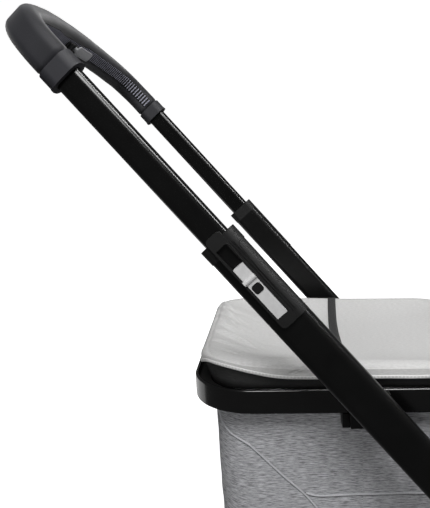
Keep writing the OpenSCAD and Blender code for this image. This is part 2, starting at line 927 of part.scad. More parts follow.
rim_frame();
rim_trim();
fabric_tub();
fabric_base();
tub_stiffener();
tub_lining();
tub_piping();
base_board();
base_pad();
base_feet();
foot_screws();
near_hub_bracket();
far_side() near_hub_bracket();  // far_hub_bracket
bracket_screws();
strap_studs();
cover();
cover_skirt();
hold_down_strap();
strap_snaps();
near_side_tube();
far_side() near_side_tube();  // far_side_tube
near_hub_disc();
far_side() near_hub_disc();  // far_hub_disc
near_pivot_pin();
far_side() near_pivot_pin();  // far_pivot_pin
near_end_eye();
far_side() near_end_eye();  // far_end_eye
near_lock_housing();
far_side() near_lock_housing();  // far_lock_housing
near_guide_bush();
far_side() near_guide_bush();  // far_guide_bush
handle_tube();
handle_end_bushes();
grip_cover();
grip_seam();
near_grip_collar();
far_side() near_grip_collar();  // far_grip_collar
zip_slider();
zip_pull();
near_lock_slider();
far_side() near_lock_slider();  // far_lock_slider
near_clamp_pad();
far_side() near_clamp_pad();  // far_clamp_pad
near_button_spring();
far_side() near_button_spring();  // far_button_spring
near_lock_button();
far_side() near_lock_button();  // far_lock_button
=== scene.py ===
"""Looks of a fabric basket that hangs between the side tubes of a telescoping push handle.

Metres, +Z up. The handle leans towards -X and the near side is -Y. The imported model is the
fixed frame: every piece made here is placed from its nodes and rides on its bodies.
"""

from __future__ import annotations

import json
import logging
import math
from dataclasses import dataclass, field, replace
from enum import Enum
from typing import Callable, Iterable, Sequence

import bmesh
import bpy
import numpy as np
from mathutils import Matrix, Vector
from mathutils.bvhtree import BVHTree

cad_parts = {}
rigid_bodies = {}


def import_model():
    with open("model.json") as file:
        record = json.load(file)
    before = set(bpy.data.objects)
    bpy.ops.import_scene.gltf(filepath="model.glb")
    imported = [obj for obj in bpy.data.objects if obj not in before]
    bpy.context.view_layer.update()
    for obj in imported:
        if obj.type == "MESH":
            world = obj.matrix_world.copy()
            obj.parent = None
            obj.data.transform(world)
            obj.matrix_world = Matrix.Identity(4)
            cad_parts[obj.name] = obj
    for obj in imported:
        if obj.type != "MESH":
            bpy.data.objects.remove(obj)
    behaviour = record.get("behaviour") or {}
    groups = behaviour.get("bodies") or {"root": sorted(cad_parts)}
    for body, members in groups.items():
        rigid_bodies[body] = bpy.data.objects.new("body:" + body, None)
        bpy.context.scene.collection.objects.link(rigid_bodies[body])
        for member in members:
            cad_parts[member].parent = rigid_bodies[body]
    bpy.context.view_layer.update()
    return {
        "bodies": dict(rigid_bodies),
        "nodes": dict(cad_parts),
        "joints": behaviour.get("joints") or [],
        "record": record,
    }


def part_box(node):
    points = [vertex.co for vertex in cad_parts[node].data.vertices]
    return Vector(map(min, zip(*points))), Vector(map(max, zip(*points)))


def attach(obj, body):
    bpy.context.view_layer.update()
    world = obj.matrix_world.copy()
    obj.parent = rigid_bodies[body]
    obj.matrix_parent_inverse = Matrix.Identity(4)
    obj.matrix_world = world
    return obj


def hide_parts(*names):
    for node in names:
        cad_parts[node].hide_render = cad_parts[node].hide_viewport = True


log = logging.getLogger("basket")

MM = 0.001
Array = np.ndarray
Colour = tuple[float, float, float]


# ---- Shader sums -------------------------------------------------------------------------


class Wire:
    """One output of a shader node, which sums can be written with."""

    def __init__(self, bench: "Bench", socket: bpy.types.NodeSocket) -> None:
        """Holds a socket of a bench's tree."""
        self.bench = bench
        self.socket = socket

    def _sum(self, operation: str, first: "Wire | float", second: "Wire | float") -> "Wire":
        """Adds one Math node.

        Args:
            operation: the Math node's operation.
            first: left side.
            second: right side.

        Returns:
            The node's output.
        """
        return self.bench.put("ShaderNodeMath", {"operation": operation}, **{"0": first, "1": second})

    def __add__(self, other: "Wire | float") -> "Wire":
        """Sum, with the number on either side."""
        return self._sum("ADD", self, other)

    __radd__ = __add__

    def __sub__(self, other: "Wire | float") -> "Wire":
        """Difference."""
        return self._sum("SUBTRACT", self, other)

    def __mul__(self, other: "Wire | float") -> "Wire":
        """Product."""
        return self._sum("MULTIPLY", self, other)

    def sine(self) -> "Wire":
        """Sine of an angle in radians."""
        return self._sum("SINE", self, 0.0)

    def size(self) -> "Wire":
        """The number without its sign."""
        return self._sum("ABSOLUTE", self, 0.0)


class Bench:
    """A material's node tree, with one method that adds nodes."""

    def __init__(self, name: str) -> None:
        """Starts a material with an empty tree.

        Args:
            name: the material's name.
        """
        self.material = bpy.data.materials.new(name)
        self.material.use_nodes = True
        self.tree = self.material.node_tree
        self.tree.nodes.clear()

    def put(self, kind: str, settings: dict | None = None, out: int | str = 0, **inputs: object) -> Wire:
        """Adds one node.

        Args:
            kind: the node's type.
            settings: properties set first; "stops" are a colour ramp's (place, colour) pairs.
            out: the output that is returned.
            **inputs: values or wires by the socket's name, or its number as text.

        Returns:
            The wanted output.
        """
        node = self.tree.nodes.new(kind)
        for key, value in (settings or {}).items():
            if key == "stops":
                ramp = node.color_ramp
                while len(ramp.elements) < len(value):
                    ramp.elements.new(0.5)
                for element, (place, colour) in zip(ramp.elements, value):
                    element.position, element.color = place, (*colour, 1.0)
            else:
                setattr(node, key, value)
        for key, value in inputs.items():
            socket = node.inputs[int(key)] if key.isdigit() else node.inputs[key.replace("_", " ")]
            if isinstance(value, Wire):
                self.tree.links.new(value.socket, socket)
            else:
                socket.default_value = value
        return Wire(self, node.outputs[out])

    def mix(self, factor: "Wire | float", first: "Wire | Colour", second: "Wire | Colour") -> Wire:
        """Blends two colours.

        Args:
            factor: 0 for the first, 1 for the second.
            first: a wire or a colour.
            second: a wire or a colour.

        Returns:
            The blended colour.
        """
        ends = [c if isinstance(c, Wire) else (*c, 1.0) for c in (first, second)]
        sockets = {"0": factor, "6": ends[0], "7": ends[1]}
        return self.put("ShaderNodeMix", {"data_type": "RGBA"}, out=2, **sockets)

    def place(self, scale: Sequence[float] = (1, 1, 1), by_uv: bool = False) -> Wire:
        """Where a point lies, in the object's own metres or in the piece's UV map.

        Args:
            scale: how much each direction is stretched.
            by_uv: True for the UV map.

        Returns:
            The scaled place.
        """
        where = self.put("ShaderNodeTexCoord", out="UV" if by_uv else "Object")
        return self.put("ShaderNodeMapping", Vector=where, Scale=tuple(scale))

    def noise(self, where: Wire, scale: float, detail: float = 2.0, rough: float = 0.5) -> Wire:
        """Smooth random pattern between 0 and 1.

        Args:
            where: the place it is read at.
            scale: how many lumps there are in a metre.
            detail: number of finer layers.
            rough: strength of the finer layers.

        Returns:
            The pattern.
        """
        return self.put("ShaderNodeTexNoise", Vector=where, Scale=scale, Detail=detail, Roughness=rough)

    def bump(self, height: Wire, depth: float, strength: float = 1.0) -> Wire:
        """Surface relief.

        Args:
            height: relief between 0 and 1.
            depth: what 1 stands for, in metres.
            strength: share of the relief that is used.

        Returns:
            The bent normal.
        """
        return self.put("ShaderNodeBump", Height=height, Distance=depth, Strength=strength)

    def finish(self, **sockets: object) -> bpy.types.Material:
        """Ends the tree in one Principled shader.

        Args:
            **sockets: the shader's inputs, by name.

        Returns:
            The finished material.
        """
        shader = self.put("ShaderNodeBsdfPrincipled", **sockets)
        end = self.tree.nodes.new("ShaderNodeOutputMaterial")
        self.tree.links.new(shader.socket, end.inputs["Surface"])
        return self.material


# ---- Finishes ----------------------------------------------------------------------------


def tone(level: float, tint: Colour = (1.0, 1.0, 1.0)) -> Colour:
    """A grey given as screen brightness from 0 to 255, with a slight tint.

    Args:
        level: brightness of the grey.
        tint: what each channel is multiplied by.

    Returns:
        The linear colour.
    """
    value = (level / 255.0) ** 2.2
    return tuple(value * t for t in tint)


@dataclass(frozen=True)
class Finish:
    """What every finish has."""

    name: str
    colour: Colour

    def make(self) -> bpy.types.Material:
        """Builds the material."""
        raise NotImplementedError

    def shade(self, times: float, plus: float = 0.0) -> Colour:
        """The finish's colour, paler or deeper."""
        return tuple(c * times + plus for c in self.colour)

    def material(self) -> bpy.types.Material:
        """The material, built the first time that it is asked for."""
        return bpy.data.materials.get(self.name) or self.make()


@dataclass(frozen=True)
class SatinPaint(Finish):
    """Satin paint on a drawn tube: long soft waves, faint dust and rubbed patches."""

    rough: float = 0.3
    wave_mm: float = 0.01
    gloss: float = 0.5

    def make(self) -> bpy.types.Material:
        """Builds the material."""
        bench = Bench(self.name)
        where = bench.place()
        dust = bench.noise(where, 38.0, 4.0, 0.6)
        waves = bench.noise(where, 110.0, 2.0)
        drawn = bench.noise(bench.place((1, 1, 0.2)), 260.0, 2.0)
        return bench.finish(
            Base_Color=bench.mix(dust, self.colour, self.shade(1.5, 0.002)),
            Roughness=self.rough + (dust - 0.5) * 0.06 + (drawn - 0.5) * 0.03,
            Normal=bench.bump(waves, self.wave_mm * MM),
            Specular_IOR_Level=self.gloss,
        )


@dataclass(frozen=True)
class Moulding(Finish):
    """Moulded plastic with the fine texture of its mould."""

    rough: float = 0.5
    grain_mm: float = 0.9
    depth_mm: float = 0.05
    coat: float = 0.0
    gloss: float = 0.4

    def make(self) -> bpy.types.Material:
        """Builds the material."""
        bench = Bench(self.name)
        where = bench.place()
        grain = bench.put("ShaderNodeTexVoronoi", Vector=where, Scale=1.0 / (self.grain_mm * MM))
        cloud = bench.noise(where, 60.0, 3.0)
        return bench.finish(
            Base_Color=bench.mix(cloud, self.colour, self.shade(1.35, 0.001)),
            Roughness=self.rough + (cloud - 0.5) * 0.10,
            Normal=bench.bump(grain, self.depth_mm * MM),
            Specular_IOR_Level=self.gloss,
            Coat_Weight=self.coat,
            Coat_Roughness=0.12,
        )


@dataclass(frozen=True)
class GrainedSkin(Finish):
    """Soft skin of the grip: pebbled grain with pale worn tops."""

    rough: float = 0.62
    grain_mm: float = 1.1
    depth_mm: float = 0.16
    sheen: float = 0.1

    def make(self) -> bpy.types.Material:
        """Builds the material."""
        bench = Bench(self.name)
        where = bench.place()
        bent = bench.noise(where, 900.0, 2.0)
        grain = 1.0 / (self.grain_mm * MM)
        pebbles = bench.put(
            "ShaderNodeTexVoronoi", {"feature": "SMOOTH_F1"}, Vector=where, Scale=grain, Smoothness=0.35
        )
        hide = pebbles * 0.7 + bent * 0.3
        cloud = bench.noise(where, 26.0, 4.0, 0.6)
        return bench.finish(
            Base_Color=bench.mix(hide * 0.35 + cloud * 0.5, self.colour, self.shade(1.7, 0.004)),
            Roughness=self.rough + (cloud - 0.5) * 0.16,
            Normal=bench.bump(hide, self.depth_mm * MM),
            Specular_IOR_Level=0.25,
            Sheen_Weight=self.sheen,
            Sheen_Roughness=0.35,
        )


@dataclass(frozen=True)
class Metal(Finish):
    """Bare metal with fine lines from grinding."""

    rough: float = 0.3
    lines: Sequence[float] = (1.0, 0.06, 1.0)
    depth_mm: float = 0.01
    metallic: float = 1.0

    def make(self) -> bpy.types.Material:
        """Builds the material."""
        bench = Bench(self.name)
        ground = bench.noise(bench.place(self.lines), 2600.0, 3.0, 0.6)
        cloud = bench.noise(bench.place(), 90.0, 2.0)
        return bench.finish(
            Base_Color=bench.mix(ground, self.shade(0.72), self.colour),
            Metallic=self.metallic,
            Roughness=self.rough + (ground - 0.5) * 0.16 + (cloud - 0.5) * 0.08,
            Normal=bench.bump(ground, self.depth_mm * MM),
        )


class Weave(Enum):
    """How a cloth's threads lie."""

    PLAIN = "plain"
    RIBBED = "ribbed"


@dataclass(frozen=True)
class Cloth(Finish):
    """Woven cloth of pale and dark yarns, read from the piece's UV map in metres."""

    dark: Colour = (0.05, 0.05, 0.05)
    thread_mm: float = 0.8
    streak_mm: tuple[float, float] = (9.0, 1.1)
    slub_mm: tuple[float, float] = (5.0, 0.7)
    streak: float = 0.6
    depth_mm: float = 0.14
    weave: Weave = Weave.PLAIN
    rough: float = 0.88
    sheen: float = 0.12
    contrast: float = 0.18

    def make(self) -> bpy.types.Material:
        """Builds the material."""
        bench = Bench(self.name)
        turn = 2 * math.pi / (self.thread_mm * MM)
        where = bench.place(by_uv=True)
        along = bench.put("ShaderNodeSeparateXYZ", Vector=where)
        across = Wire(bench, along.socket.node.outputs["Y"])
        warp, weft = (along * turn).sine(), (across * turn).sine()
        if self.weave is Weave.PLAIN:
            threads = (warp * weft) * 0.5 + 0.5
        else:
            threads = weft.size()
        yarn, slub = (
            bench.noise(bench.place((1 / (long * MM), 1 / (wide * MM), 1), True), 1.0, 2.0, rough)
            for long, wide, rough in ((*self.streak_mm, 0.55), (*self.slub_mm, 0.5))
        )
        cloud = bench.noise(where, 14.0, 3.0)
        stops = [(0.5 - self.contrast, (0, 0, 0)), (0.5 + self.contrast, (1, 1, 1))]
        yarns = yarn * 0.62 + slub * 0.28 + threads * 0.10
        mixed = bench.put("ShaderNodeValToRGB", {"stops": stops}, Fac=yarns)
        pale = bench.mix(cloud * 0.25, self.colour, self.shade(0.8))
        mid = tuple(p * (1 - self.streak) + d * self.streak for p, d in zip(self.colour, self.dark))
        return bench.finish(
            Base_Color=bench.mix(mixed, mid, pale),
            Roughness=self.rough + (yarn - 0.5) * 0.1,
            Normal=bench.bump(threads * 0.7 + yarn * 0.3, self.depth_mm * MM, 0.8),
            Sheen_Weight=self.sheen,
            Sheen_Roughness=0.5,
            Specular_IOR_Level=0.12,
        )


@dataclass(frozen=True)
class Foam(Finish):
    """Soft board, foam or thread with a felted face and no weave of its own."""

    rough: float = 0.92
    lump_mm: float = 0.8
    depth_mm: float = 0.12

    def make(self) -> bpy.types.Material:
        """Builds the material."""
        bench = Bench(self.name)
        where = bench.place()
        felt = bench.noise(where, 1.0 / (self.lump_mm * MM), 3.0, 0.6)
        cloud = bench.noise(where, 30.0, 3.0)
        return bench.finish(
            Base_Color=bench.mix(felt * 0.6 + cloud * 0.4, self.shade(0.68), self.colour),
            Roughness=self.rough,
            Normal=bench.bump(felt, self.depth_mm * MM),
        )


COOL: Colour = (0.94, 0.94, 1.14)
WARM: Colour = (1.005, 1.0, 0.99)
STEEL: Colour = (0.985, 0.99, 1.03)

TUBE_PAINT = SatinPaint("satin_black_tube_paint", tone(9), rough=0.34, gloss=0.35)
ARM_PAINT = SatinPaint("gloss_black_arm_paint", tone(7), rough=0.2, wave_mm=0.002)
RIM_GLOSS = Moulding("glossy_black_rim", tone(14), rough=0.2, grain_mm=1.6, depth_mm=0.006, coat=0.35)
TRIM_MATT = Moulding("matt_black_trim", tone(16), rough=0.6)
HOUSING_GREY = Moulding(
    "dark_grey_lock_housing", tone(26), rough=0.55, grain_mm=0.7, depth_mm=0.012, gloss=0.3
)
BLACK_MOULDING = Moulding("black_moulding", tone(16), rough=0.48, depth_mm=0.02)
COLLAR_RUBBER = Moulding("grey_collar_rubber", tone(42, COOL), rough=0.66, grain_mm=0.8, depth_mm=0.03)
FOOT_RUBBER = Moulding("black_foot_rubber", tone(26), rough=0.75, grain_mm=1.2, depth_mm=0.09)
PAD_RUBBER = Moulding("grey_clamp_rubber", tone(84), rough=0.7)
GRIP_SKIN = GrainedSkin("grained_grip_skin", tone(36, COOL), depth_mm=0.1, sheen=0.5)
PULL_SKIN = GrainedSkin("grained_pull_skin", tone(160, STEEL), rough=0.55, grain_mm=0.8, depth_mm=0.08)
SLIDER_METAL = Metal("brushed_slider", tone(216), rough=0.42, lines=(0.06, 1.0, 0.06), metallic=0.15)
ZIP_METAL = Metal("blackened_zip_metal", tone(58), rough=0.3, lines=(1.0, 0.2, 1.0), metallic=0.7)
SCREW_METAL = Metal("turned_screw_steel", tone(165), rough=0.32, lines=(1.0, 1.0, 0.05))
SNAP_METAL = Metal("polished_snap", tone(196), rough=0.16, lines=(1.0, 1.0, 0.3))
TUB_CLOTH = Cloth(
    "melange_tub_cloth", tone(204, STEEL), dark=tone(108, STEEL), streak=0.98,
    streak_mm=(13.0, 1.05), contrast=0.12, sheen=0.05,
)
COVER_CLOTH = Cloth(
    "pale_cover_cloth", tone(208, WARM), dark=tone(168, WARM), streak=0.6, streak_mm=(5.0, 1.3), depth_mm=0.10
)
HEM_TAPE = Cloth("hem_tape", tone(224, WARM), dark=tone(192, WARM), thread_mm=1.1, streak=0.5, depth_mm=0.16)
# The skirt's grey cloth, darkened further as painted shade for the shadow that falls under the hem.
SKIRT_CLOTH = Cloth("skirt_cloth_painted_shade", tone(66), dark=tone(40), streak=0.6, sheen=0.0)
LINING_CLOTH = Cloth("lining_cloth", tone(178), dark=tone(150), streak=0.5, depth_mm=0.08)
PIPING_CLOTH = Cloth(
    "piping_cloth", tone(190, STEEL), dark=tone(140, STEEL), thread_mm=0.7, streak=0.5,
    streak_mm=(2.0, 2.0), sheen=0.0,
)
STRAP_WEBBING = Cloth(
    "dark_strap_webbing", tone(74), dark=tone(40), thread_mm=1.5, streak=0.8,
    streak_mm=(3.0, 1.0), depth_mm=0.15, weave=Weave.RIBBED, sheen=0.0,
)
BOARD_SHEET = Foam("base_board_sheet", tone(58), depth_mm=0.04)
# Dark cord just below the piping: painted shadow, standing in for the shade under the piping cord.
SEAM_SHADE = Foam("painted_piping_shadow", tone(84, STEEL), lump_mm=0.3, depth_mm=0.04)
# Near-black beads on the lock housings: painted shade for the grooves in their faces.
GROOVE_SHADE = Foam("painted_groove_shade", tone(2), lump_mm=0.4, depth_mm=0.02)
STITCH_THREAD = Foam("pale_thread", tone(190, WARM), lump_mm=0.3, depth_mm=0.05)
SEAM_BED = Foam("dark_seam_bed", tone(12, COOL), rough=0.8, lump_mm=0.4, depth_mm=0.06)
LACE_THREAD = Foam("grey_lace_thread", tone(166, COOL), rough=0.7, lump_mm=0.4, depth_mm=0.06)
STRAP_THREAD = Foam("strap_thread", tone(120), lump_mm=0.3, depth_mm=0.05)
# Pale bead round the pull tab: a raised edge, made paler as a painted highlight of the light its edges catch.
PULL_EDGE = Foam("pull_edge_painted_highlight", tone(196, STEEL), rough=0.5, lump_mm=0.5, depth_mm=0.03)
PULL_THREAD = Foam("pull_thread", tone(150, COOL), lump_mm=0.3, depth_mm=0.05)

NODE_FINISH: dict[str, Finish] = {
    "rim_frame": RIM_GLOSS,
    "rim_trim": TRIM_MATT,
    "base_board": BOARD_SHEET,
    "base_feet": FOOT_RUBBER,
    "foot_screws": SCREW_METAL,
    "hub_bracket": BLACK_MOULDING,
    "bracket_screws": SCREW_METAL,
    "strap_studs": SNAP_METAL,
    "strap_snaps": SNAP_METAL,
    "side_tube": TUBE_PAINT,
    "hub_disc": BLACK_MOULDING,
    "pivot_pin": SCREW_METAL,
    "end_eye": BLACK_MOULDING,
    "lock_housing": HOUSING_GREY,
    "guide_bush": BLACK_MOULDING,
    "handle_end_bushes": BLACK_MOULDING,
    "grip_collar": COLLAR_RUBBER,
    "lock_slider": SLIDER_METAL,
    "clamp_pad": PAD_RUBBER,
    "button_spring": SCREW_METAL,
    "lock_button": BLACK_MOULDING,
}


# ---- Shapes ------------------------------------------------------------------------------


def ease(x: Array | float, low: float, high: float) -> Array:
    """Smooth step from 0 below low to 1 above high.

    Args:
        x: the values.
        low: where it starts.
        high: where it ends.

    Returns:
        The step at each value.
    """
    t = np.clip((np.asarray(x, float) - low) / (high - low), 0, 1)
    return t * t * (3 - 2 * t)


def circle(count: int) -> Array:
    """Even angles round a full turn, without the last that meets the first."""
    return np.linspace(0, 2 * math.pi, count, endpoint=False)


def travelled(path: Array) -> Array:
    """Distance along a path from its start to each of its points."""
    return np.concatenate([[0.0], np.cumsum(np.linalg.norm(np.diff(path, axis=0), axis=1))])


def soften(values: Array, width: int) -> Array:
    """Values blended with their neighbours over an odd number of places, with the ends held."""
    kernel = np.hanning(width) / np.hanning(width).sum()
    return np.convolve(np.pad(values, width // 2, mode="edge"), kernel, "valid")


@dataclass(frozen=True)
class Ripple:
    """A smooth random field: a seeded sum of waves in many directions."""

    length: float
    seed: int
    waves: int = 10

    def at(self, points: Array) -> Array:
        """The field at some points.

        Args:
            points: places, one in each row, of 2 or 3 coordinates.

        Returns:
            One value for each point, mostly between -1 and 1.
        """
        random = np.random.default_rng(self.seed)
        total = np.zeros(len(points))
        for _ in range(self.waves):
            way = random.normal(size=points.shape[1])
            way *= 2 * math.pi / (self.length * random.uniform(0.7, 1.6) * np.linalg.norm(way))
            total += np.sin(points @ way + random.uniform(0, 2 * math.pi))
        return total / math.sqrt(self.waves)


@dataclass(frozen=True)
class Outline:
    """A rectangle with round corners, seen from above."""

    half_x: float
    half_y: float
    radius: float

    def inset(self, by: float) -> "Outline":
        """The outline drawn inside itself by a distance."""
        return Outline(self.half_x - by, self.half_y - by, self.radius - by)

    @property
    def around(self) -> float:
        """Length of the outline."""
        return 4 * (self.half_x + self.half_y - 2 * self.radius) + 2 * math.pi * self.radius

    def steps(self, count: int) -> Array:
        """Even distances round the outline, without the last that meets the first."""
        return np.linspace(0, self.around, count, endpoint=False)

    def walk(self, where: Array) -> tuple[Array, Array]:
        """Points on the outline.

        Args:
            where: distances along it, from the middle of the near side towards +X.

        Returns:
            The points and the outward directions there.
        """
        flat_x, flat_y, r = self.half_x - self.radius, self.half_y - self.radius, self.radius
        arc = r * math.pi / 2
        s = np.mod(np.asarray(where, float), self.around)
        points, normals = np.zeros((len(s), 2)), np.zeros((len(s), 2))
        legs = [
            (flat_x, (0, -1), (0.0, -self.half_y)),
            (2 * flat_y, (1, 0), (self.half_x, -flat_y)),
            (2 * flat_x, (0, 1), (flat_x, self.half_y)),
            (2 * flat_y, (-1, 0), (-self.half_x, flat_y)),
            (flat_x, (0, -1), (-flat_x, -self.half_y)),
        ]
        begin = 0.0
        for i, (length, out, corner) in enumerate(legs):
            way = np.array([-out[1], out[0]], float)
            on = (s >= begin) & (s <= begin + length)
            points[on] = np.array(corner) + np.outer(s[on] - begin, way)
            normals[on] = out
            begin += length
            if i == 4:
                break
            turn = (s - begin) / r
            on = (s > begin) & (s < begin + arc)
            end = np.array(corner) + way * length
            centre = end - np.array(out) * r
            a = turn[on][:, None]
            normals[on] = np.cos(a) * np.array(out) + np.sin(a) * way
            points[on] = centre + normals[on] * r
            begin += arc
        return points, normals

    def depth(self, points: Array) -> tuple[Array, Array]:
        """How far points lie inside the outline.

        Args:
            points: places seen from above.

        Returns:
            The depth of each and the outward direction there.
        """
        core = np.array([self.half_x - self.radius, self.half_y - self.radius])
        q = np.abs(points) - core
        past = np.maximum(q, 0)
        reach = np.linalg.norm(past, axis=1)
        inner = np.minimum(np.max(q, axis=1), 0)
        way = np.where((reach > 1e-9)[:, None], past, (q >= np.max(q, axis=1)[:, None]).astype(float))
        way *= np.sign(points)
        way /= np.maximum(np.linalg.norm(way, axis=1), 1e-9)[:, None]
        return self.radius - reach - inner, way

    def patch(self, columns: int, rows: int, crowd: float = 0.0) -> Array:
        """A grid that fills the outline, with its border on the outline.

        Args:
            columns: cells along X.
            rows: cells along Y.
            crowd: 0 for even cells, towards 1 for smaller cells near the border.

        Returns:
            Points of the grid, as rows of columns.
        """
        arc = self.radius * math.pi / 4
        near = self.half_x - self.radius + arc
        side = self.half_y - self.radius + arc
        u, v = (
            (1 - crowd) * even + crowd * (0.5 - 0.5 * np.cos(math.pi * even))
            for even in (np.linspace(0, 1, columns + 1), np.linspace(0, 1, rows + 1))
        )
        low = self.walk(-near + 2 * near * u)[0]
        right = self.walk(near + 2 * side * v)[0]
        high = self.walk(near + 2 * side + 2 * near * (1 - u))[0]
        left = self.walk(-near - 2 * side * v)[0]
        uu, vv = u[None, :, None], v[:, None, None]
        return (
            (1 - vv) * low[None]
            + vv * high[None]
            + (1 - uu) * left[:, None]
            + uu * right[:, None]
            - (1 - uu) * (1 - vv) * low[0]
            - uu * (1 - vv) * low[-1]
            - (1 - uu) * vv * high[0]
            - uu * vv * high[-1]
        )


def cells(rows: int, columns: int, wrap: bool) -> Array:
    """Faces between the points of a grid.

    Args:
        rows: number of rows of points.
        columns: number of points in a row.
        wrap: True where the last point of a row joins the first.

    Returns:
        The corners of each face.
    """
    i, j = np.meshgrid(np.arange(rows - 1), np.arange(columns if wrap else columns - 1), indexing="ij")
    a, b = i * columns + j, i * columns + (j + 1) % columns
    return np.stack([a, b, b + columns, a + columns], axis=-1).reshape(-1, 4)


def stand(name: str, data: bpy.types.ID) -> bpy.types.Object:
    """A new object in the scene, at the origin."""
    obj = bpy.data.objects.new(name, data)
    bpy.context.scene.collection.objects.link(obj)
    return obj


def piece_from(
    name: str, points: Array, faces: Iterable[Sequence[int]], finish: Finish, uv: Array | None = None
) -> bpy.types.Object:
    """A smooth mesh object at the origin.

    Args:
        name: the piece's name.
        points: its points.
        faces: the corners of each face.
        finish: its finish.
        uv: a place in metres for each point, or None.

    Returns:
        The new object.
    """
    mesh = bpy.data.meshes.new(name)
    mesh.from_pydata([tuple(p) for p in points], [], [tuple(int(k) for k in f) for f in faces])
    if uv is not None:
        layer = mesh.uv_layers.new(name="cut")
        corners = np.zeros(len(mesh.loops), np.int32)
        mesh.loops.foreach_get("vertex_index", corners)
        layer.data.foreach_set("uv", uv[corners].astype(np.float32).ravel())
    mesh.polygons.foreach_set("use_smooth", np.ones(len(mesh.polygons), bool))
    mesh.materials.append(finish.material())
    mesh.update()
    return stand(name, mesh)


def weld(obj: bpy.types.Object, reach: float, border_only: bool = False) -> bpy.types.Object:
    """Joins a piece's points where they meet and turns its faces outwards.

    Args:
        obj: the piece.
        reach: how far apart joined points may lie.
        border_only: True to join only points on an open border.

    Returns:
        The same piece.
    """
    work = bmesh.new()
    work.from_mesh(obj.data)
    verts = [v for v in work.verts if v.is_boundary or not border_only]
    bmesh.ops.remove_doubles(work, verts=verts, dist=reach)
    bmesh.ops.recalc_face_normals(work, faces=work.faces)
    work.to_mesh(obj.data)
    work.free()
    return obj


def settle(obj: bpy.types.Object) -> bpy.types.Object:
    """Turns an object's modifiers into its plain mesh.

    Args:
        obj: a piece with modifiers.

    Returns:
        The same object with none.
    """
    graph = bpy.context.evaluated_depsgraph_get()
    done = obj.evaluated_get(graph)
    mesh = bpy.data.meshes.new_from_object(done, preserve_all_data_layers=True, depsgraph=graph)
    obj.modifiers.clear()
    obj.data = mesh
    return obj


def loft(
    name: str, rings: Array, finish: Finish, lengths: Array, closed: bool = False, poles: bool = False
) -> bpy.types.Object:
    """A surface through rings of points.

    Args:
        name: the piece's name.
        rings: points, as rings of equal count; each runs the same way round.
        finish: its finish.
        lengths: place of each point round its ring, in metres, for the UV map.
        closed: True where the last ring joins the first.
        poles: True to close the first and last ring to a point.

    Returns:
        The new object.
    """
    size = rings.shape[1]
    seam = np.concatenate([rings, rings[:, :1]], axis=1)
    along = np.concatenate([[0.0], np.cumsum(np.linalg.norm(np.diff(rings, axis=0), axis=2).mean(axis=1))])
    around = np.concatenate([lengths, [lengths[-1] + (lengths[-1] - lengths[-2])]])
    if closed:
        seam = np.concatenate([seam, seam[:1]])
        along = np.append(along, along[-1] + np.linalg.norm(rings[0] - rings[-1], axis=1).mean())
    rows, width = seam.shape[:2]
    points = seam.reshape(-1, 3)
    uv = np.stack(np.meshgrid(around, along), axis=-1).reshape(-1, 2)
    faces = list(cells(rows, width, False))
    if poles:
        for row, order in ((0, -1), (rows - 1, 1)):
            middle = seam[row, :-1].mean(axis=0)
            tip = len(points)
            points = np.concatenate([points, [middle]])
            uv = np.concatenate([uv, [[around[width // 2], along[row]]]])
            for k in range(size):
                pair = (row * width + k, row * width + k + 1)
                faces.append((*pair[::order], tip))
    return weld(piece_from(name, points, faces, finish, uv), 1e-6)


def cord(
    name: str, path: Array, out: Array, half: float, finish: Finish, sides: int, flat: float = 1.0
) -> bpy.types.Object:
    """A cord that lies along a path on a surface.

    Args:
        name: the piece's name.
        path: points of its middle.
        out: direction away from the surface at each point.
        half: half its width.
        finish: its finish.
        sides: points round its section.
        flat: its height as a share of its width.

    Returns:
        The new object.
    """
    way = np.gradient(path, axis=0)
    way /= np.linalg.norm(way, axis=1)[:, None]
    side = np.cross(way, out)
    turn = circle(sides)
    rise, spread = (np.cos(turn) * flat)[:, None], np.sin(turn)[:, None]
    rings = path[:, None] + half * (rise * out[:, None] + spread * side[:, None])
    return loft(name, rings, finish, turn * half, poles=True)


def thicken(obj: bpy.types.Object, thickness: float) -> bpy.types.Object:
    """Gives a surface a thickness, inwards.

    Args:
        obj: the surface.
        thickness: how thick it becomes.

    Returns:
        The same object.
    """
    wall = obj.modifiers.new("wall", "SOLIDIFY")
    wall.thickness, wall.offset, wall.use_rim = thickness, -1.0, True
    return settle(obj)


def merge(name: str, objects: Sequence[bpy.types.Object]) -> bpy.types.Object:
    """Joins some objects into the first.

    Args:
        name: name of the result.
        objects: what is joined.

    Returns:
        The joined object.
    """
    with bpy.context.temp_override(active_object=objects[0], selected_editable_objects=list(objects)):
        bpy.ops.object.join()
    objects[0].name = name
    return objects[0]


class Shape(Enum):
    """What a row is made of."""

    STITCH = "stitch"
    RIB = "rib"


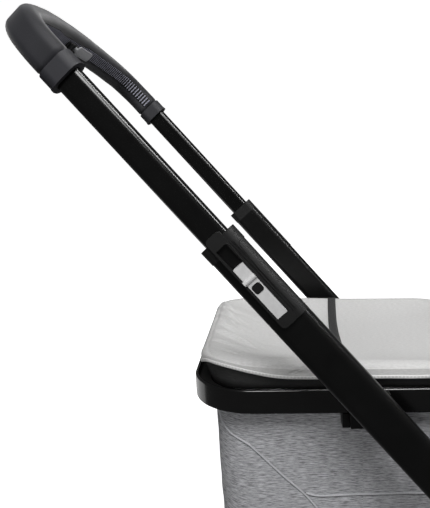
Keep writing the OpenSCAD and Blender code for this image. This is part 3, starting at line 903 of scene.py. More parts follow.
class RowTree:
    """Geometry Nodes that set like shapes along a path, turned to face out from it."""

    SOCKETS = (("Path", "Geometry"), ("Spacing", "Float"), ("Size", "Vector"), ("Material", "Material"))

    def __init__(self, shape: Shape) -> None:
        """Builds the tree.

        Args:
            shape: what the row is made of.
        """
        self.tree = bpy.data.node_groups.new(f"row_of_{shape.value}", "GeometryNodeTree")
        face = self.tree.interface
        _, self.spacing, self.size, self.material = (
            face.new_socket(label, in_out="INPUT", socket_type=f"NodeSocket{kind}").identifier
            for label, kind in self.SOCKETS
        )
        face.new_socket("Row", in_out="OUTPUT", socket_type="NodeSocketGeometry")
        start = self.tree.nodes.new("NodeGroupInput")
        end = self.tree.nodes.new("NodeGroupOutput")
        curve = self._node("GeometryNodeMeshToCurve", Mesh=start.outputs[0])
        spaced = self._node(
            "GeometryNodeResampleCurve", {"mode": "LENGTH"}, Curve=curve.outputs[0], Length=start.outputs[1]
        )
        out = self._attribute("out")
        along = self._attribute("along")
        upright = self._node("FunctionNodeAlignRotationToVector", {"axis": "Z"}, Vector=out)
        square = {"axis": "X", "pivot_axis": "Z"}
        turned = self._node(
            "FunctionNodeAlignRotationToVector", square, Rotation=upright.outputs[0], Vector=along
        )
        row = self._node(
            "GeometryNodeInstanceOnPoints", Points=spaced.outputs[0], Instance=self._shape(shape),
            Rotation=turned.outputs[0], Scale=start.outputs[2],
        )
        real = self._node("GeometryNodeRealizeInstances", Geometry=row.outputs[0])
        smooth = self._node("GeometryNodeSetShadeSmooth", Geometry=real.outputs[0])
        painted = self._node("GeometryNodeSetMaterial", Geometry=smooth.outputs[0], Material=start.outputs[3])
        self.tree.links.new(painted.outputs[0], end.inputs[0])

    def _node(self, kind: str, settings: dict | None = None, **inputs: object) -> bpy.types.Node:
        """Adds a node.

        Args:
            kind: the node's type.
            settings: properties set first.
            **inputs: sockets or values by name.

        Returns:
            The node.
        """
        node = self.tree.nodes.new(kind)
        for key, value in (settings or {}).items():
            setattr(node, key, value)
        for key, value in inputs.items():
            if isinstance(value, bpy.types.NodeSocket):
                self.tree.links.new(value, node.inputs[key])
            else:
                node.inputs[key].default_value = value
        return node

    def _attribute(self, name: str) -> bpy.types.NodeSocket:
        """The value of a direction that the path carries."""
        node = self._node("GeometryNodeInputNamedAttribute", {"data_type": "FLOAT_VECTOR"}, Name=name)
        return node.outputs[0]

    def _shape(self, shape: Shape) -> bpy.types.NodeSocket:
        """One shape of the row, one unit long each way.

        Args:
            shape: which it is.

        Returns:
            Its mesh.
        """
        if shape is Shape.STITCH:
            return self._node("GeometryNodeMeshUVSphere", Segments=8, Rings=5, Radius=0.5).outputs[0]
        line = self._node("GeometryNodeCurvePrimitiveLine", Start=(0.0, -0.5, 0.0), End=(0.0, 0.5, 0.0))
        bent = self._node("GeometryNodeResampleCurve", {"mode": "COUNT"}, Curve=line.outputs[0], Count=5)
        section = self._node("GeometryNodeCurvePrimitiveCircle", Resolution=8, Radius=0.5)
        ends = {"Profile Curve": section.outputs[0], "Fill Caps": True}
        return self._node("GeometryNodeCurveToMesh", Curve=bent.outputs[0], **ends).outputs[0]


class Rows:
    """Makes rows of like shapes with one shared tree for each shape."""

    trees: dict[Shape, RowTree] = {}

    @classmethod
    def along(
        cls, name: str, path: Array, out: Array, spacing: float, size: Sequence[float],
        finish: Finish, shape: Shape = Shape.STITCH,
    ) -> bpy.types.Object:
        """One row along a path.

        Args:
            name: the piece's name.
            path: points of the path.
            out: direction away from the surface at each point.
            spacing: distance from one shape to the next.
            size: length along the path, across it and away from the surface.
            finish: its finish.
            shape: what the row is made of.

        Returns:
            The row as one plain mesh.
        """
        if shape not in cls.trees:
            cls.trees[shape] = RowTree(shape)
        tree = cls.trees[shape]
        mesh = bpy.data.meshes.new(name)
        mesh.from_pydata([tuple(p) for p in path], [(i, i + 1) for i in range(len(path) - 1)], [])
        ways = np.gradient(path, axis=0)
        for label, vectors in (("out", out), ("along", ways)):
            mesh.attributes.new(label, "FLOAT_VECTOR", "POINT").data.foreach_set(
                "vector", np.asarray(vectors, np.float32).ravel()
            )
        obj = stand(name, mesh)
        row = obj.modifiers.new("row", "NODES")
        row.node_group = tree.tree
        row[tree.spacing] = float(spacing)
        row[tree.size] = [float(s) for s in size]
        row[tree.material] = finish.material()
        data = settle(obj).data
        data.materials.clear()
        data.materials.append(finish.material())
        data.polygons.foreach_set("material_index", np.zeros(len(data.polygons), np.int32))
        return obj


# ---- Delivery ----------------------------------------------------------------------------


def deliver(obj: bpy.types.Object, body: str, replaces: Sequence[str] = ()) -> bpy.types.Object:
    """Hands a finished piece to the frame.

    Args:
        obj: the piece.
        body: the body that it rides on.
        replaces: CAD nodes that it stands for.

    Returns:
        The same piece.
    """
    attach(obj, body)
    if replaces:
        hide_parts(*replaces)
    log.info("%s rides on %s, %d faces", obj.name, body, len(obj.data.polygons))
    return obj


def paint_nodes(nodes: dict[str, bpy.types.Object]) -> None:
    """Gives each CAD node that stays visible the finish of its name without the side.

    Args:
        nodes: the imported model's nodes.
    """
    for name, obj in nodes.items():
        finish = NODE_FINISH.get(name.removeprefix("near_").removeprefix("far_"))
        if finish is None:
            continue
        for slot in obj.material_slots:
            slot.material = finish.material()
        log.info("%s wears %s", name, finish.name)


# ---- Basket ------------------------------------------------------------------------------


@dataclass(frozen=True)
class Rim:
    """The rim's outline and heights, which the soft pieces follow."""

    half_x: float
    half_y: float
    top: float
    radius: float = 78 * MM

    @classmethod
    def from_frame(cls) -> "Rim":
        """Reads the rim's size from its node."""
        _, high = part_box("rim_frame")
        return cls(high.x, high.y, high.z)

    @property
    def outline(self) -> Outline:
        """The rim's outer edge, seen from above."""
        return Outline(self.half_x, self.half_y, self.radius)


@dataclass
class Tub:
    """Fabric tub with its piping, lining and pad."""

    rim: Rim
    inset: float = 23.6 * MM
    lean: float = 5.2 * MM
    cloth: float = 0.9 * MM
    edge_r: float = 10 * MM
    foot: float = 6 * MM
    drop: float = 8 * MM
    pull_in: float = 1.3 * MM
    stiffener_inset: float = 26.5 * MM
    board: float = 1 * MM
    lining_inset: float = 27.9 * MM
    lining_wall: float = 1.2 * MM
    lip: float = 0.6 * MM
    slack: Ripple = Ripple(160 * MM, 5)
    ripple: Ripple = Ripple(46 * MM, 8)
    ripple_high: float = 0.12 * MM
    most_proud: float = 0.5 * MM
    pucker_step: float = 9.5 * MM
    pucker_drift: float = 21 * MM
    pucker_high: float = 0.2 * MM
    pucker_reach: float = 11 * MM
    pucker_clear: float = 2.5 * MM
    seam_deep: float = 0.6 * MM
    seam_wide: float = 3 * MM
    piping_r: float = 1.35 * MM
    piping_proud: float = 0.75 * MM
    # Size and standing of the dark cord under the piping, which is painted shadow.
    shadow_cord_r: float = 0.6 * MM
    shadow_cord_proud: float = 0.3 * MM
    piping_route: tuple[tuple[float, float], ...] = (
        (30, 208), (48, 180), (72, 148), (100, 122), (126, 94), (138, 82),
        (150, 76), (168, 70), (184, 60), (192, 44), (194, 31.5),
    )
    hub_shift: float = 26 * MM
    hub_turn: tuple[float, float] = (84 * MM, 130 * MM)
    level_run: tuple[tuple[float, float], ...] = (
        (-70, 147), (-62, 150.5), (-50, 151.3), (-25, 149.8), (20, 147.2), (60, 145.6), (96, 145.5),
    )
    channel_count: int = 26
    channel_puff: float = 2.2 * MM
    pad_clear: float = 2.6 * MM
    pad_quilt: float = 62 * MM
    pad_crown: float = 26 * MM
    pad_lumps: Ripple = Ripple(70 * MM, 3)

    def lean_at(self, z: Array) -> Array:
        """How much further in the walls stand at a height than at their top."""
        top = self.rim.top - self.drop
        return self.lean * (top - z) / (top - self.foot)

    def wall_profile(self) -> Array:
        """Section of the wall.

        Returns:
            Rows of inset and height, from the inner top edge over the outside to the base.
        """
        top = self.rim.top - self.drop
        low = self.foot + self.edge_r
        outer = [(self.inset, z) for z in np.linspace(top - self.lip, low, 58)]
        turn = np.linspace(0, math.pi / 2, 7)[1:]
        edge = [(self.inset + self.edge_r * (1 - math.cos(a)), low - self.edge_r * math.sin(a)) for a in turn]
        rim = [(self.inset + self.cloth, top - self.lip), (self.inset + self.cloth / 2, top)]
        return np.array(rim + outer + edge)

    def rings(self, profile: Array, columns: int) -> tuple[Array, Array, Array]:
        """Rings of points from a section.

        Args:
            profile: rows of inset and height.
            columns: points in a ring.

        Returns:
            The rings, the outward directions and the distances along the outline.
        """
        outline = self.rim.outline.inset(self.inset)
        where = outline.steps(columns)
        points, out = outline.walk(where)
        rings = []
        for inset, z in profile:
            flat = points - out * (inset - self.inset + self.lean_at(z))
            rings.append(np.column_stack([flat, np.full(len(flat), z)]))
        return np.array(rings), out, where

    def piping_lines(self) -> list[Array]:
        """The piping's runs as distances along the outline and heights.

        Returns:
            Runs of points (distance from the middle of the near or far side, height).
        """
        route = np.array(self.piping_route) * MM
        t = np.linspace(0, len(route) - 1, 90)
        knots = np.arange(len(route))
        fine = np.column_stack([np.interp(t, knots, route[:, k]) for k in (0, 1)])
        smooth = np.column_stack([soften(fine[:, k], 11) for k in (0, 1)])
        half = self.rim.outline.inset(self.inset).around / 2
        places, depths = np.array(self.level_run).T * MM
        level = np.linspace(places[0], places[-1], 60)
        sunk = sum(np.interp(level + k * 3 * MM, places, depths) for k in (-1, 0, 1)) / 3
        shift = self.hub_shift * ease(smooth[:, 1], *self.hub_turn)
        runs = []
        for middle, hub in ((0.0, 1), (half, -1)):
            for sign in (-1, 1):
                across = sign * (smooth[:, 0] + (shift if sign == hub else 0))
                runs.append(np.column_stack([middle + across, self.rim.top - smooth[:, 1]]))
            runs.append(np.column_stack([middle + hub * level, self.rim.top - sunk]))
        return runs

    def relief(self, where: Array, z: Array) -> Array:
        """How far the cloth stands out from its even wall.

        Args:
            where: distance along the outline of each point.
            z: height of each point.

        Returns:
            Distance outwards, mostly negative.
        """
        whole = self.rim.outline.inset(self.inset).around
        low, top = self.foot + self.edge_r, self.rim.top - self.drop
        middle = ease(z, low, low + 50 * MM) * (1 - ease(z, top - 60 * MM, top))
        flat = np.column_stack([where, z])
        seam = np.full(len(where), 1.0)
        along = np.zeros(len(where))
        for run in self.piping_lines():
            centre = np.mod(run[:, 0], whole)
            gap = np.abs(where[:, None] - centre[None])
            gap = np.minimum(gap, whole - gap)
            away = np.hypot(gap, z[:, None] - run[None, :, 1])
            nearest = away.argmin(axis=1)
            near = away[np.arange(len(where)), nearest]
            closer = near < seam
            seam[closer], along[closer] = near[closer], travelled(run)[nearest][closer]
        pucker = np.sin(along * 2 * math.pi / self.pucker_step + 3 * np.sin(along / self.pucker_drift))
        near_seam = np.exp(-((seam / self.pucker_reach) ** 2))
        sag = -self.pull_in * middle * (0.55 + 0.45 * self.slack.at(flat))
        puckers = self.pucker_high * pucker * near_seam * (1 - np.exp(-((seam / self.pucker_clear) ** 2)))
        groove = -self.seam_deep * np.exp(-((seam / self.seam_wide) ** 2))
        ripples = self.ripple_high * self.ripple.at(flat * [1.0, 1.6]) * middle
        return np.minimum(sag + puckers + groove + ripples, self.most_proud)

    def build_cloth(self) -> bpy.types.Object:
        """The outer fabric as one closed shell."""
        rings, out, where = self.rings(self.wall_profile(), 640)
        for ring in rings[2:]:
            ring[:, :2] += out * self.relief(where, ring[:, 2])[:, None]
        floor = [rings[-1] * (share, share, 1.0) for share in (0.8, 0.5, 0.2)]
        raised = (0.0, 0.0, self.cloth)
        walls = []
        for ring, shift in zip((rings[-1], rings[40], rings[20]), (0.0, 1.0, 1.0)):
            inner = ring.copy()
            inner[:, :2] -= out * self.cloth * shift
            inner[:, 2] += self.cloth * (1 - shift)
            walls.append(inner)
        shell = np.array([floor[1] + raised, floor[0] + raised, *walls, *rings, *floor])
        return loft("tub_cloth", shell, TUB_CLOTH, where, poles=True)

    def build_stiffener(self) -> bpy.types.Object:
        """The thin sheet that stiffens the walls, between the cloth and the lining."""
        low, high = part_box("tub_stiffener")
        outline = self.rim.outline.inset(self.stiffener_inset)
        where = outline.steps(320)
        flat, out = outline.walk(where)
        rings = []
        heights = np.linspace(low.z, high.z, 8)
        for inset, levels in ((0.0, heights), (self.board, heights[::-1])):
            for z in levels:
                rings.append(np.column_stack([flat - out * (inset + self.lean_at(z)), np.full(len(flat), z)]))
        return loft("wall_stiffener", np.array(rings), BOARD_SHEET, where, closed=True)

    def build_cords(
        self, name: str, radius: float, drop: float, proud: float, finish: Finish
    ) -> bpy.types.Object:
        """Cords along the tub's seams.

        Args:
            name: the piece's name.
            radius: radius of each cord.
            drop: how far it lies below the seam.
            proud: how far its middle stands out of the cloth.
            finish: its finish.

        Returns:
            The cords as one piece.
        """
        outline = self.rim.outline.inset(self.inset)
        cords = []
        for i, run in enumerate(self.piping_lines()):
            flat, out = outline.walk(run[:, 0])
            lift = self.relief(np.mod(run[:, 0], outline.around), run[:, 1]) + proud - self.lean_at(run[:, 1])
            path = np.column_stack([flat + out * lift[:, None], run[:, 1] - drop])
            normal = np.column_stack([out, np.zeros(len(out))])
            cords.append(cord(f"{name}_{i}", path, normal, radius, finish, 12))
        return merge(name, cords)

    def build_lining(self) -> bpy.types.Object:
        """The lining, with sewn channels down its walls."""
        low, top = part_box("tub_lining")[0].z, self.rim.top - self.drop
        outline = self.rim.outline.inset(self.lining_inset)
        where = outline.steps(480)
        flat, out = outline.walk(where)
        channels = np.abs(np.sin(where / outline.around * math.pi * self.channel_count)) ** 0.5

        def ring(inset: float, z: float, puff: float) -> Array:
            """One ring of the lining."""
            points = flat - out * (inset + self.lean_at(z) + puff * self.channel_puff * channels)[:, None]
            return np.column_stack([points, np.full(len(where), z)])

        heights = np.linspace(top, low + 4 * MM, 30)
        puffs = ease(heights, low, low + 20 * MM) * (1 - ease(heights, top - 14 * MM, top))
        inner = [ring(self.lining_wall, z, puff) for z, puff in zip(heights, puffs)]
        outer = [ring(0.1 * MM, z, 0.0) for z in heights[::-1][::6]]
        outer[0][:, 2] = low
        floor_in, floor_out = (ends * (0.4, 0.4, 1.0) for ends in (inner[-1], outer[0]))
        floor_in[:, 2] = low + self.lining_wall
        rows = np.array([floor_out, *outer, *inner, floor_in])
        return loft("inner_lining", rows, LINING_CLOTH, where, poles=True)

    def build_pad(self) -> bpy.types.Object:
        """The crowned foam pad on the base."""
        low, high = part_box("base_pad")
        outline = self.rim.outline.inset(self.rim.half_x - high.x + self.pad_clear + self.lean)
        grid = outline.patch(64, 56)
        points = grid.reshape(-1, 2)
        depth, _ = outline.depth(points)
        thick = high.z - low.z
        crown = np.sin(np.clip(depth / self.pad_crown, 0, 1) * math.pi / 2) ** 0.6
        lumps = self.pad_lumps.at(points)
        quilt = np.abs(np.sin(points[:, 0] * math.pi / self.pad_quilt)) ** 0.4
        upper = low.z + thick * (0.5 + 0.42 * crown) + (0.5 * lumps - 1.8 * (1 - quilt)) * MM * crown
        lower = low.z + thick * 0.5 * (1 - crown)
        rows, columns = grid.shape[:2]
        top_faces = cells(rows, columns, False)
        both = np.concatenate([np.column_stack([points, z]) for z in (upper, lower)])
        faces = np.concatenate([top_faces, top_faces[:, ::-1] + rows * columns])
        pad = piece_from("base_cushion", both, faces, LINING_CLOTH, np.concatenate([points, points]))
        return weld(pad, 0.6 * MM, border_only=True)

    def build(self) -> None:
        """Makes and hands over every soft piece of the tub."""
        deliver(self.build_cloth(), "basket", ["fabric_tub", "fabric_base"])
        piping = self.build_cords("seam_piping", self.piping_r, 0.0, self.piping_proud, PIPING_CLOTH)
        deliver(piping, "basket", ["tub_piping"])
        # A dark cord just below each piping cord: painted shadow under the piping.
        below = self.piping_r + 0.35 * MM
        shade = self.build_cords("seam_thread", self.shadow_cord_r, below, self.shadow_cord_proud, SEAM_SHADE)
        deliver(shade, "basket")
        deliver(self.build_stiffener(), "basket", ["tub_stiffener"])
        deliver(self.build_lining(), "basket", ["tub_lining"])
        pad = deliver(self.build_pad(), "basket", ["base_pad"])


# ---- Cover -------------------------------------------------------------------------------


@dataclass(frozen=True)
class Fold:
    """A soft fold of the cover, from its edge towards the tuck in its near hem."""

    start: tuple[float, float]
    bend: tuple[float, float]
    end: tuple[float, float]
    height: float
    width: float

    def lift(self, points: Array) -> Array:
        """How far the fold raises the cloth.

        Args:
            points: places seen from above, in metres.

        Returns:
            The lift at each.
        """
        t = np.linspace(0, 1, 40)[:, None]
        a, b, c = (np.array(p) * MM for p in (self.start, self.bend, self.end))
        line = (1 - t) ** 2 * a + 2 * t * (1 - t) * b + t * t * c
        away = np.linalg.norm(points[:, None] - line[None], axis=2)
        nearest = away.argmin(axis=1)
        share = t[nearest, 0]
        gap = away[np.arange(len(points)), nearest]
        strength = ease(share, -0.2, 0.3) * (1 - ease(share, 0.55, 1.0))
        wide = self.width * MM * (0.8 + 0.5 * share)
        return self.height * MM * strength * np.exp(-((gap / wide) ** 2))


@dataclass
class Cover:
    """Cloth cover with its hem, skirt and hold-down strap."""

    rim: Rim
    end_inset: float = 9 * MM
    side_inset: float = 10.5 * MM
    hem_low: float = 9 * MM
    hem_high: float = 20 * MM
    hem_tape: float = 3.6 * MM
    roll: float = 13 * MM
    cloth: float = 1.1 * MM
    sag: float = 7.5 * MM
    crest: tuple[tuple[float, float], ...] = (
        (-200, 34.5), (-150, 34), (-133, 32.5), (-41, 29), (14, 26.5), (118, 23.5), (160, 22.5), (200, 22.5),
    )
    corner_lift: float = 16 * MM
    corner_reach: tuple[float, float] = (61 * MM, 34.5 * MM)
    folds: tuple[Fold, ...] = (
        Fold((-192, 130), (-180, 105), (-152, 60), 4.6, 4.8),
        Fold((-190, 92), (-174, 50), (-140, 5), 5.7, 4.8),
        Fold((-188, 45), (-164, 0), (-122, -50), 7.0, 4.8),
        Fold((-190, -2), (-152, -18), (-108, -78), 7.3, 4.8),
        Fold((-189, -50), (-156, -48), (-104, -104), 7.0, 4.4),
        Fold((-188, -92), (-158, -84), (-100, -128), 5.9, 4.0),
        Fold((-176, -124), (-150, -118), (-92, -146), 4.6, 3.6),
        Fold((192, -70), (160, -50), (120, -90), 1.6, 9),
        Fold((190, 60), (165, 20), (130, -10), 1.6, 9),
    )
    tuck: tuple[float, float] = (-72, -166)
    tuck_size: tuple[float, float] = (13 * MM, 10 * MM)
    tuck_deep: float = 3.2 * MM
    swell: Ripple = Ripple(95 * MM, 12)
    swell_high: float = 0.5 * MM
    rumple: Ripple = Ripple(30 * MM, 21)
    rumple_high: float = 0.8 * MM
    seam_run: tuple[float, float] = (14.5 * MM, 25 * MM)
    seam_deep: float = 1.5 * MM
    seam_wide: float = 1.8 * MM
    creases: tuple[tuple[float, float], ...] = ((-85, 3.4), (-77.5, 3.0), (-70, 2.2))
    crease_wide: float = 2 * MM
    pucker_step: float = 5.5 * MM
    pucker_drift: float = 13 * MM
    pucker_high: float = 0.28 * MM
    hem_wave: float = 0.35 * MM
    settle_frames: int = 16
    stitch_size: tuple[float, float, float] = (3 * MM, 0.6 * MM, 0.5 * MM)
    stitch_step: float = 4.2 * MM
    strap_width: float = 13 * MM
    strap_thick: float = 1.1 * MM
    strap_tail: float = 5.6 * MM
    strap_bow: float = -7.6 * MM
    strap_gap: float = 0.35 * MM
    strap_stitch: tuple[float, float, float] = (2.3 * MM, 0.5 * MM, 0.3 * MM)
    strap_step: float = 3.4 * MM
    skirt_slope: float = 9 * MM
    skirt_half: float = 0.35 * MM
    surface: BVHTree | None = field(default=None, repr=False)

    @property
    def hem(self) -> Outline:
        """The hem's outline."""
        rim, side = self.rim, self.side_inset
        return Outline(rim.half_x - self.end_inset, rim.half_y - side, rim.radius - side)

    def crest_at(self, x: Array) -> Array:
        """Height of the cover's top edge above the rim, which falls from the handle's end."""
        places, heights = np.array(self.crest).T * MM
        return sum(np.interp(x + shift * 12 * MM, places, heights) for shift in range(-2, 3)) / 5

    def lift_at(self, points: Array) -> Array:
        """How far the hem is pulled up where it passes the corner at the handle's end.

        Args:
            points: places seen from above.

        Returns:
            The lift at each.
        """
        turn = self.hem.radius * (1 - math.sqrt(0.5))
        past_x = np.maximum(points[:, 0] + self.hem.half_x - turn, 0) / self.corner_reach[0]
        past_y = np.maximum(self.hem.half_y - turn - np.abs(points[:, 1]), 0) / self.corner_reach[1]
        return self.corner_lift * np.exp(-(past_x**2) - past_y**2)

    @staticmethod
    def lift_share(run: Array | float) -> Array:
        """Share of the hem's lift that is left at a distance along the cloth from its edge."""
        return 1 - ease(run, 2 * MM, 24 * MM)

    def section(self, run: Array) -> tuple[Array, Array, Array]:
        """The cover's side view near its edge.

        Args:
            run: distance along the cloth from the hem's lower edge.

        Returns:
            How far inside the hem it lies there, its height in the hem's band, and how much of
            the roll above the band it has climbed, from 0 to 1.
        """
        band = self.hem_high - self.hem_low
        height = 8.5 * MM
        turn = np.linspace(0, math.pi / 2, 40)
        inset = self.roll * (0.4 * (1 - np.cos(turn)) + 0.6 * (1 - np.cos(turn)) ** 1.2)
        length = travelled(np.column_stack([inset, height * np.sin(turn)])) + band
        inside = np.interp(run, length, inset) + np.maximum(run - length[-1], 0)
        return inside, self.hem_low + np.minimum(run, band), np.interp(run, length, np.sin(turn))

    @property
    def spare(self) -> float:
        """How much longer the cloth is than its view from above, from the hem inwards."""
        reach = 80 * MM
        return reach - float(self.section(np.array([reach]))[0][0])

    @property
    def cut(self) -> Outline:
        """The outline of the cloth's flat cut."""
        return self.hem.inset(-self.spare)

    def laid(self) -> tuple[Array, Array, Array]:
        """The cloth laid over the rim.

        Returns:
            Grid points, their places in the flat cut and their distances from the hem's edge.
        """
        grid = self.cut.patch(196, 176, crowd=0.6)
        flat = grid.reshape(-1, 2)
        run, out = self.cut.depth(flat)
        run = np.maximum(run, 0)
        inset, height, climb = self.section(run)
        points = flat - out * (inset - run + self.spare)[:, None]
        inner = ease(run, 26 * MM, 110 * MM)
        z = height + (self.crest_at(points[:, 0]) - self.hem_high) * climb
        z += self.lift_at(points) * self.lift_share(run)
        z -= self.sag * inner * (0.75 + 0.25 * ease(points[:, 1], -0.12, 0.1))
        for fold in self.folds:
            z += fold.lift(points) * ease(run, 10 * MM, 24 * MM)
        z += self.swell_high * self.swell.at(points) * ease(run, 16 * MM, 40 * MM)
        away = np.linalg.norm((points - np.array(self.tuck) * MM) / self.tuck_size, axis=1)
        z -= self.tuck_deep * np.exp(-(away**2)) * ease(run, 8 * MM, 14 * MM)
        rumpled = 0.35 + 0.65 * (1 - ease(points[:, 0], -150 * MM, -20 * MM))
        drawn = points @ np.array([[0.72, 0.34], [-0.69, 1.0]])
        z += self.rumple_high * self.rumple.at(drawn) * ease(run, 20 * MM, 40 * MM) * rumpled
        seam = self.seam_run[0] + (self.seam_run[1] - self.seam_run[0]) * out[:, 0] ** 2
        z -= self.seam_deep * np.exp(-(((run - seam) / self.seam_wide) ** 2))
        for place, deep in self.creases:
            gap = points[:, 0] - place * MM - 1.3 * (run - 5 * MM)
            near = (points[:, 1] < 0) * ease(run, 4 * MM, 7 * MM) * (1 - ease(run, 19 * MM, 30 * MM))
            points = points - out * (deep * MM * near * np.exp(-((gap / self.crease_wide) ** 2)))[:, None]
        around = np.arctan2(points[:, 1], points[:, 0]) * self.hem.half_x
        pucker = np.sin(around * 2 * math.pi / self.pucker_step + 2.5 * np.sin(around / self.pucker_drift))
        at_hem = ease(run, 3 * MM, 12 * MM) * (1 - ease(run, 13 * MM, 24 * MM))
        points = points + out * (self.pucker_high * pucker * at_hem)[:, None]
        shape = np.column_stack([points, self.rim.top + z])
        return shape.reshape(*grid.shape[:2], 3), flat, run

    def relax(self, cover: bpy.types.Object, run: Array) -> None:
        """Lets the cloth settle under its weight, held by its hem.

        Args:
            cover: the cloth.
            run: distance of each point from the hem's edge.
        """
        held = cover.vertex_groups.new(name="held")
        for index, share in enumerate(1 - ease(run, 16 * MM, 46 * MM)):
            held.add([index], float(share), "REPLACE")
        sim = cover.modifiers.new("settle", "CLOTH")
        sim.settings.vertex_group_mass = "held"
        sim.settings.quality = 6
        sim.settings.mass = 0.25
        sim.settings.tension_stiffness = sim.settings.compression_stiffness = 30
        sim.settings.shear_stiffness = 12
        sim.settings.bending_stiffness = 0.6
        sim.settings.pin_stiffness = 2.0
        sim.settings.shrink_min = -0.008
        sim.settings.effector_weights.gravity = 0.25
        sim.point_cache.frame_start, sim.point_cache.frame_end = 1, self.settle_frames
        scene = bpy.context.scene
        for frame in range(1, self.settle_frames + 1):
            scene.frame_set(frame)
        settle(cover)
        scene.frame_set(1)

    def build_cloth(self) -> bpy.types.Object:
        """The cover's main sheet."""
        grid, flat, run = self.laid()
        rows, columns = grid.shape[:2]
        cover = piece_from("cover_cloth", grid.reshape(-1, 3), cells(rows, columns, False), COVER_CLOTH, flat)
        self.relax(cover, run)
        self.surface = BVHTree.FromObject(cover, bpy.context.evaluated_depsgraph_get())
        return thicken(cover, self.cloth)

    def hem_path(self, run: float, out_by: float) -> tuple[Array, Array, Array]:
        """A line round the hem.

        Args:
            run: its height above the hem's lower edge.
            out_by: how far outside the hem it lies.

        Returns:
            The points, the outward directions and the distances along it.
        """
        where = np.linspace(0, self.hem.around, 720)
        flat, out = self.hem.walk(where)
        wave = self.hem_wave * np.sin(where / self.hem.around * 2 * math.pi * 17)
        z = self.rim.top + self.hem_low + run + wave + self.lift_at(flat) * self.lift_share(run)
        points = np.column_stack([flat + out * out_by, z])
        return points, np.column_stack([out, np.zeros(len(out))]), where

    def build_band(self) -> bpy.types.Object:
        """The turned-up hem, as a tape round the cover's edge."""
        tall = self.hem_tape / MM
        profile = [
            (-0.3, -0.4), (0.55, -0.6), (1.0, 0.2), (1.1, tall / 2),
            (1.0, tall - 0.6), (0.5, tall), (-0.3, tall - 0.2),
        ]
        rings = np.array([self.hem_path(z * MM, x * MM)[0][:-1] for x, z in profile])
        where = self.hem_path(0, 0)[2][:-1]
        return loft("cover_hem", rings, HEM_TAPE, where, closed=True)

    def build_stitches(self) -> bpy.types.Object:
        """Stitches that hold the hem."""
        rows = []
        for i, run in enumerate((self.hem_tape - 1.2 * MM, 1.0 * MM)):
            line = self.hem_path(run, 1.1 * MM)[:2]
            row = Rows.along(f"hem_row_{i}", *line, self.stitch_step, self.stitch_size, STITCH_THREAD)
            rows.append(row)
        return merge("hem_stitches", rows)

    def build_skirt(self) -> bpy.types.Object:
        """The inner skirt that hangs from the hem into the rim."""
        low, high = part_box("cover_skirt")
        outline = self.rim.outline.inset(self.rim.half_x - high.x + 0.75 * MM)
        where = outline.steps(720)
        flat, out = outline.walk(where)
        turn = where / outline.around * 2 * math.pi
        sway = 0.35 * MM * np.sin(turn * 31) + 0.2 * MM * np.sin(where / (17 * MM))
        bottom = low.z + 0.9 * MM + 0.8 * MM * np.sin(turn * 9)
        head = self.rim.top + self.hem_low + 3 * MM + self.lift_at(flat)
        rings = []
        for share, side in ((1, -1), (0.7, -1), (0.35, -1), (0, -1), (0, 1), (0.35, 1), (0.7, 1), (1, 1)):
            z = bottom * (1 - share) + head * share
            shift = (sway - self.skirt_slope) * (1 - share) + side * self.skirt_half
            rings.append(np.column_stack([flat + out * shift[:, None], z]))
        return loft("inner_skirt", np.array(rings), SKIRT_CLOTH, where, closed=True)

    def strap_heights(self, line: Array, side: Array) -> Array:
        """Height of the cover's cloth under the strap.

        Args:
            line: places of the strap's middle, seen from above.
            side: direction across the strap.

        Returns:
            The highest point of the cloth across the strap at each place.
        """
        heights = np.full(len(line), -1.0)
        for i, point in enumerate(line):
            for share in (-0.5, 0, 0.5):
                x, y = point + side * self.strap_width * share
                hit = self.surface.ray_cast(Vector((x, y, 1.0)), Vector((0, 0, -1)))[0]
                if hit is not None:
                    heights[i] = max(heights[i], hit.z)
        return heights

    def build_strap(self) -> list[bpy.types.Object]:
        """The webbing strap over the cover, and its end stitches."""
        low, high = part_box("strap_snaps")
        snap_r, tail = 5 * MM, self.strap_tail
        studs = np.array([[low.x + snap_r, snap_r - high.y], [high.x - snap_r, high.y - snap_r]])
        span = np.linalg.norm(studs[1] - studs[0])
        way = (studs[1] - studs[0]) / span
        side = np.array([way[1], -way[0]])
        length = span + 2 * tail
        where = np.linspace(0, length, 260)
        line = studs[0] - way * tail + np.outer(where, way)
        share = np.clip((where - tail) / span, 0, 1)
        line += np.outer(np.sin(share * math.pi) * self.strap_bow, side)
        seat = high.z - 2.4 * MM
        cloth = self.strap_heights(line, side) + self.strap_gap
        over = np.where(cloth > 0, cloth, seat)
        reach = np.minimum(where, length - where)
        rest = seat + (over - seat) * ease(reach, 9 * MM, 24 * MM)
        z = np.maximum(rest, np.where(cloth > 0, cloth, 0))
        z = np.maximum(soften(z, 13), z - 0.3 * MM)
        middle = np.column_stack([line, z])
        wide = np.array([*side, 0.0]) * self.strap_width / 2
        up = np.array([0, 0, self.strap_thick])
        section = ((-1, 0), (-0.5, -0.02), (0.5, -0.02), (1, 0), (1, 0.9), (0.5, 1), (-0.5, 1), (-1, 0.9))
        rings = middle[:, None] + np.array([wide * across + up * height for across, height in section])
        lengths = np.array([0, 2.7, 8.2, 11, 12, 14.7, 20.2, 23]) * MM
        strap = loft("webbing_strap", rings, STRAP_WEBBING, lengths, poles=True)
        rows = []
        for i, share in enumerate((-0.36, 0.36)):
            path = middle + np.array([*side, 0.0]) * self.strap_width * share + up * 1.02
            out = np.tile([0.0, 0.0, 1.0], (len(path), 1))
            row = Rows.along(f"strap_row_{i}", path, out, self.strap_step, self.strap_stitch, STRAP_THREAD)
            rows.append(row)
        return [strap, merge("strap_stitches", rows)]

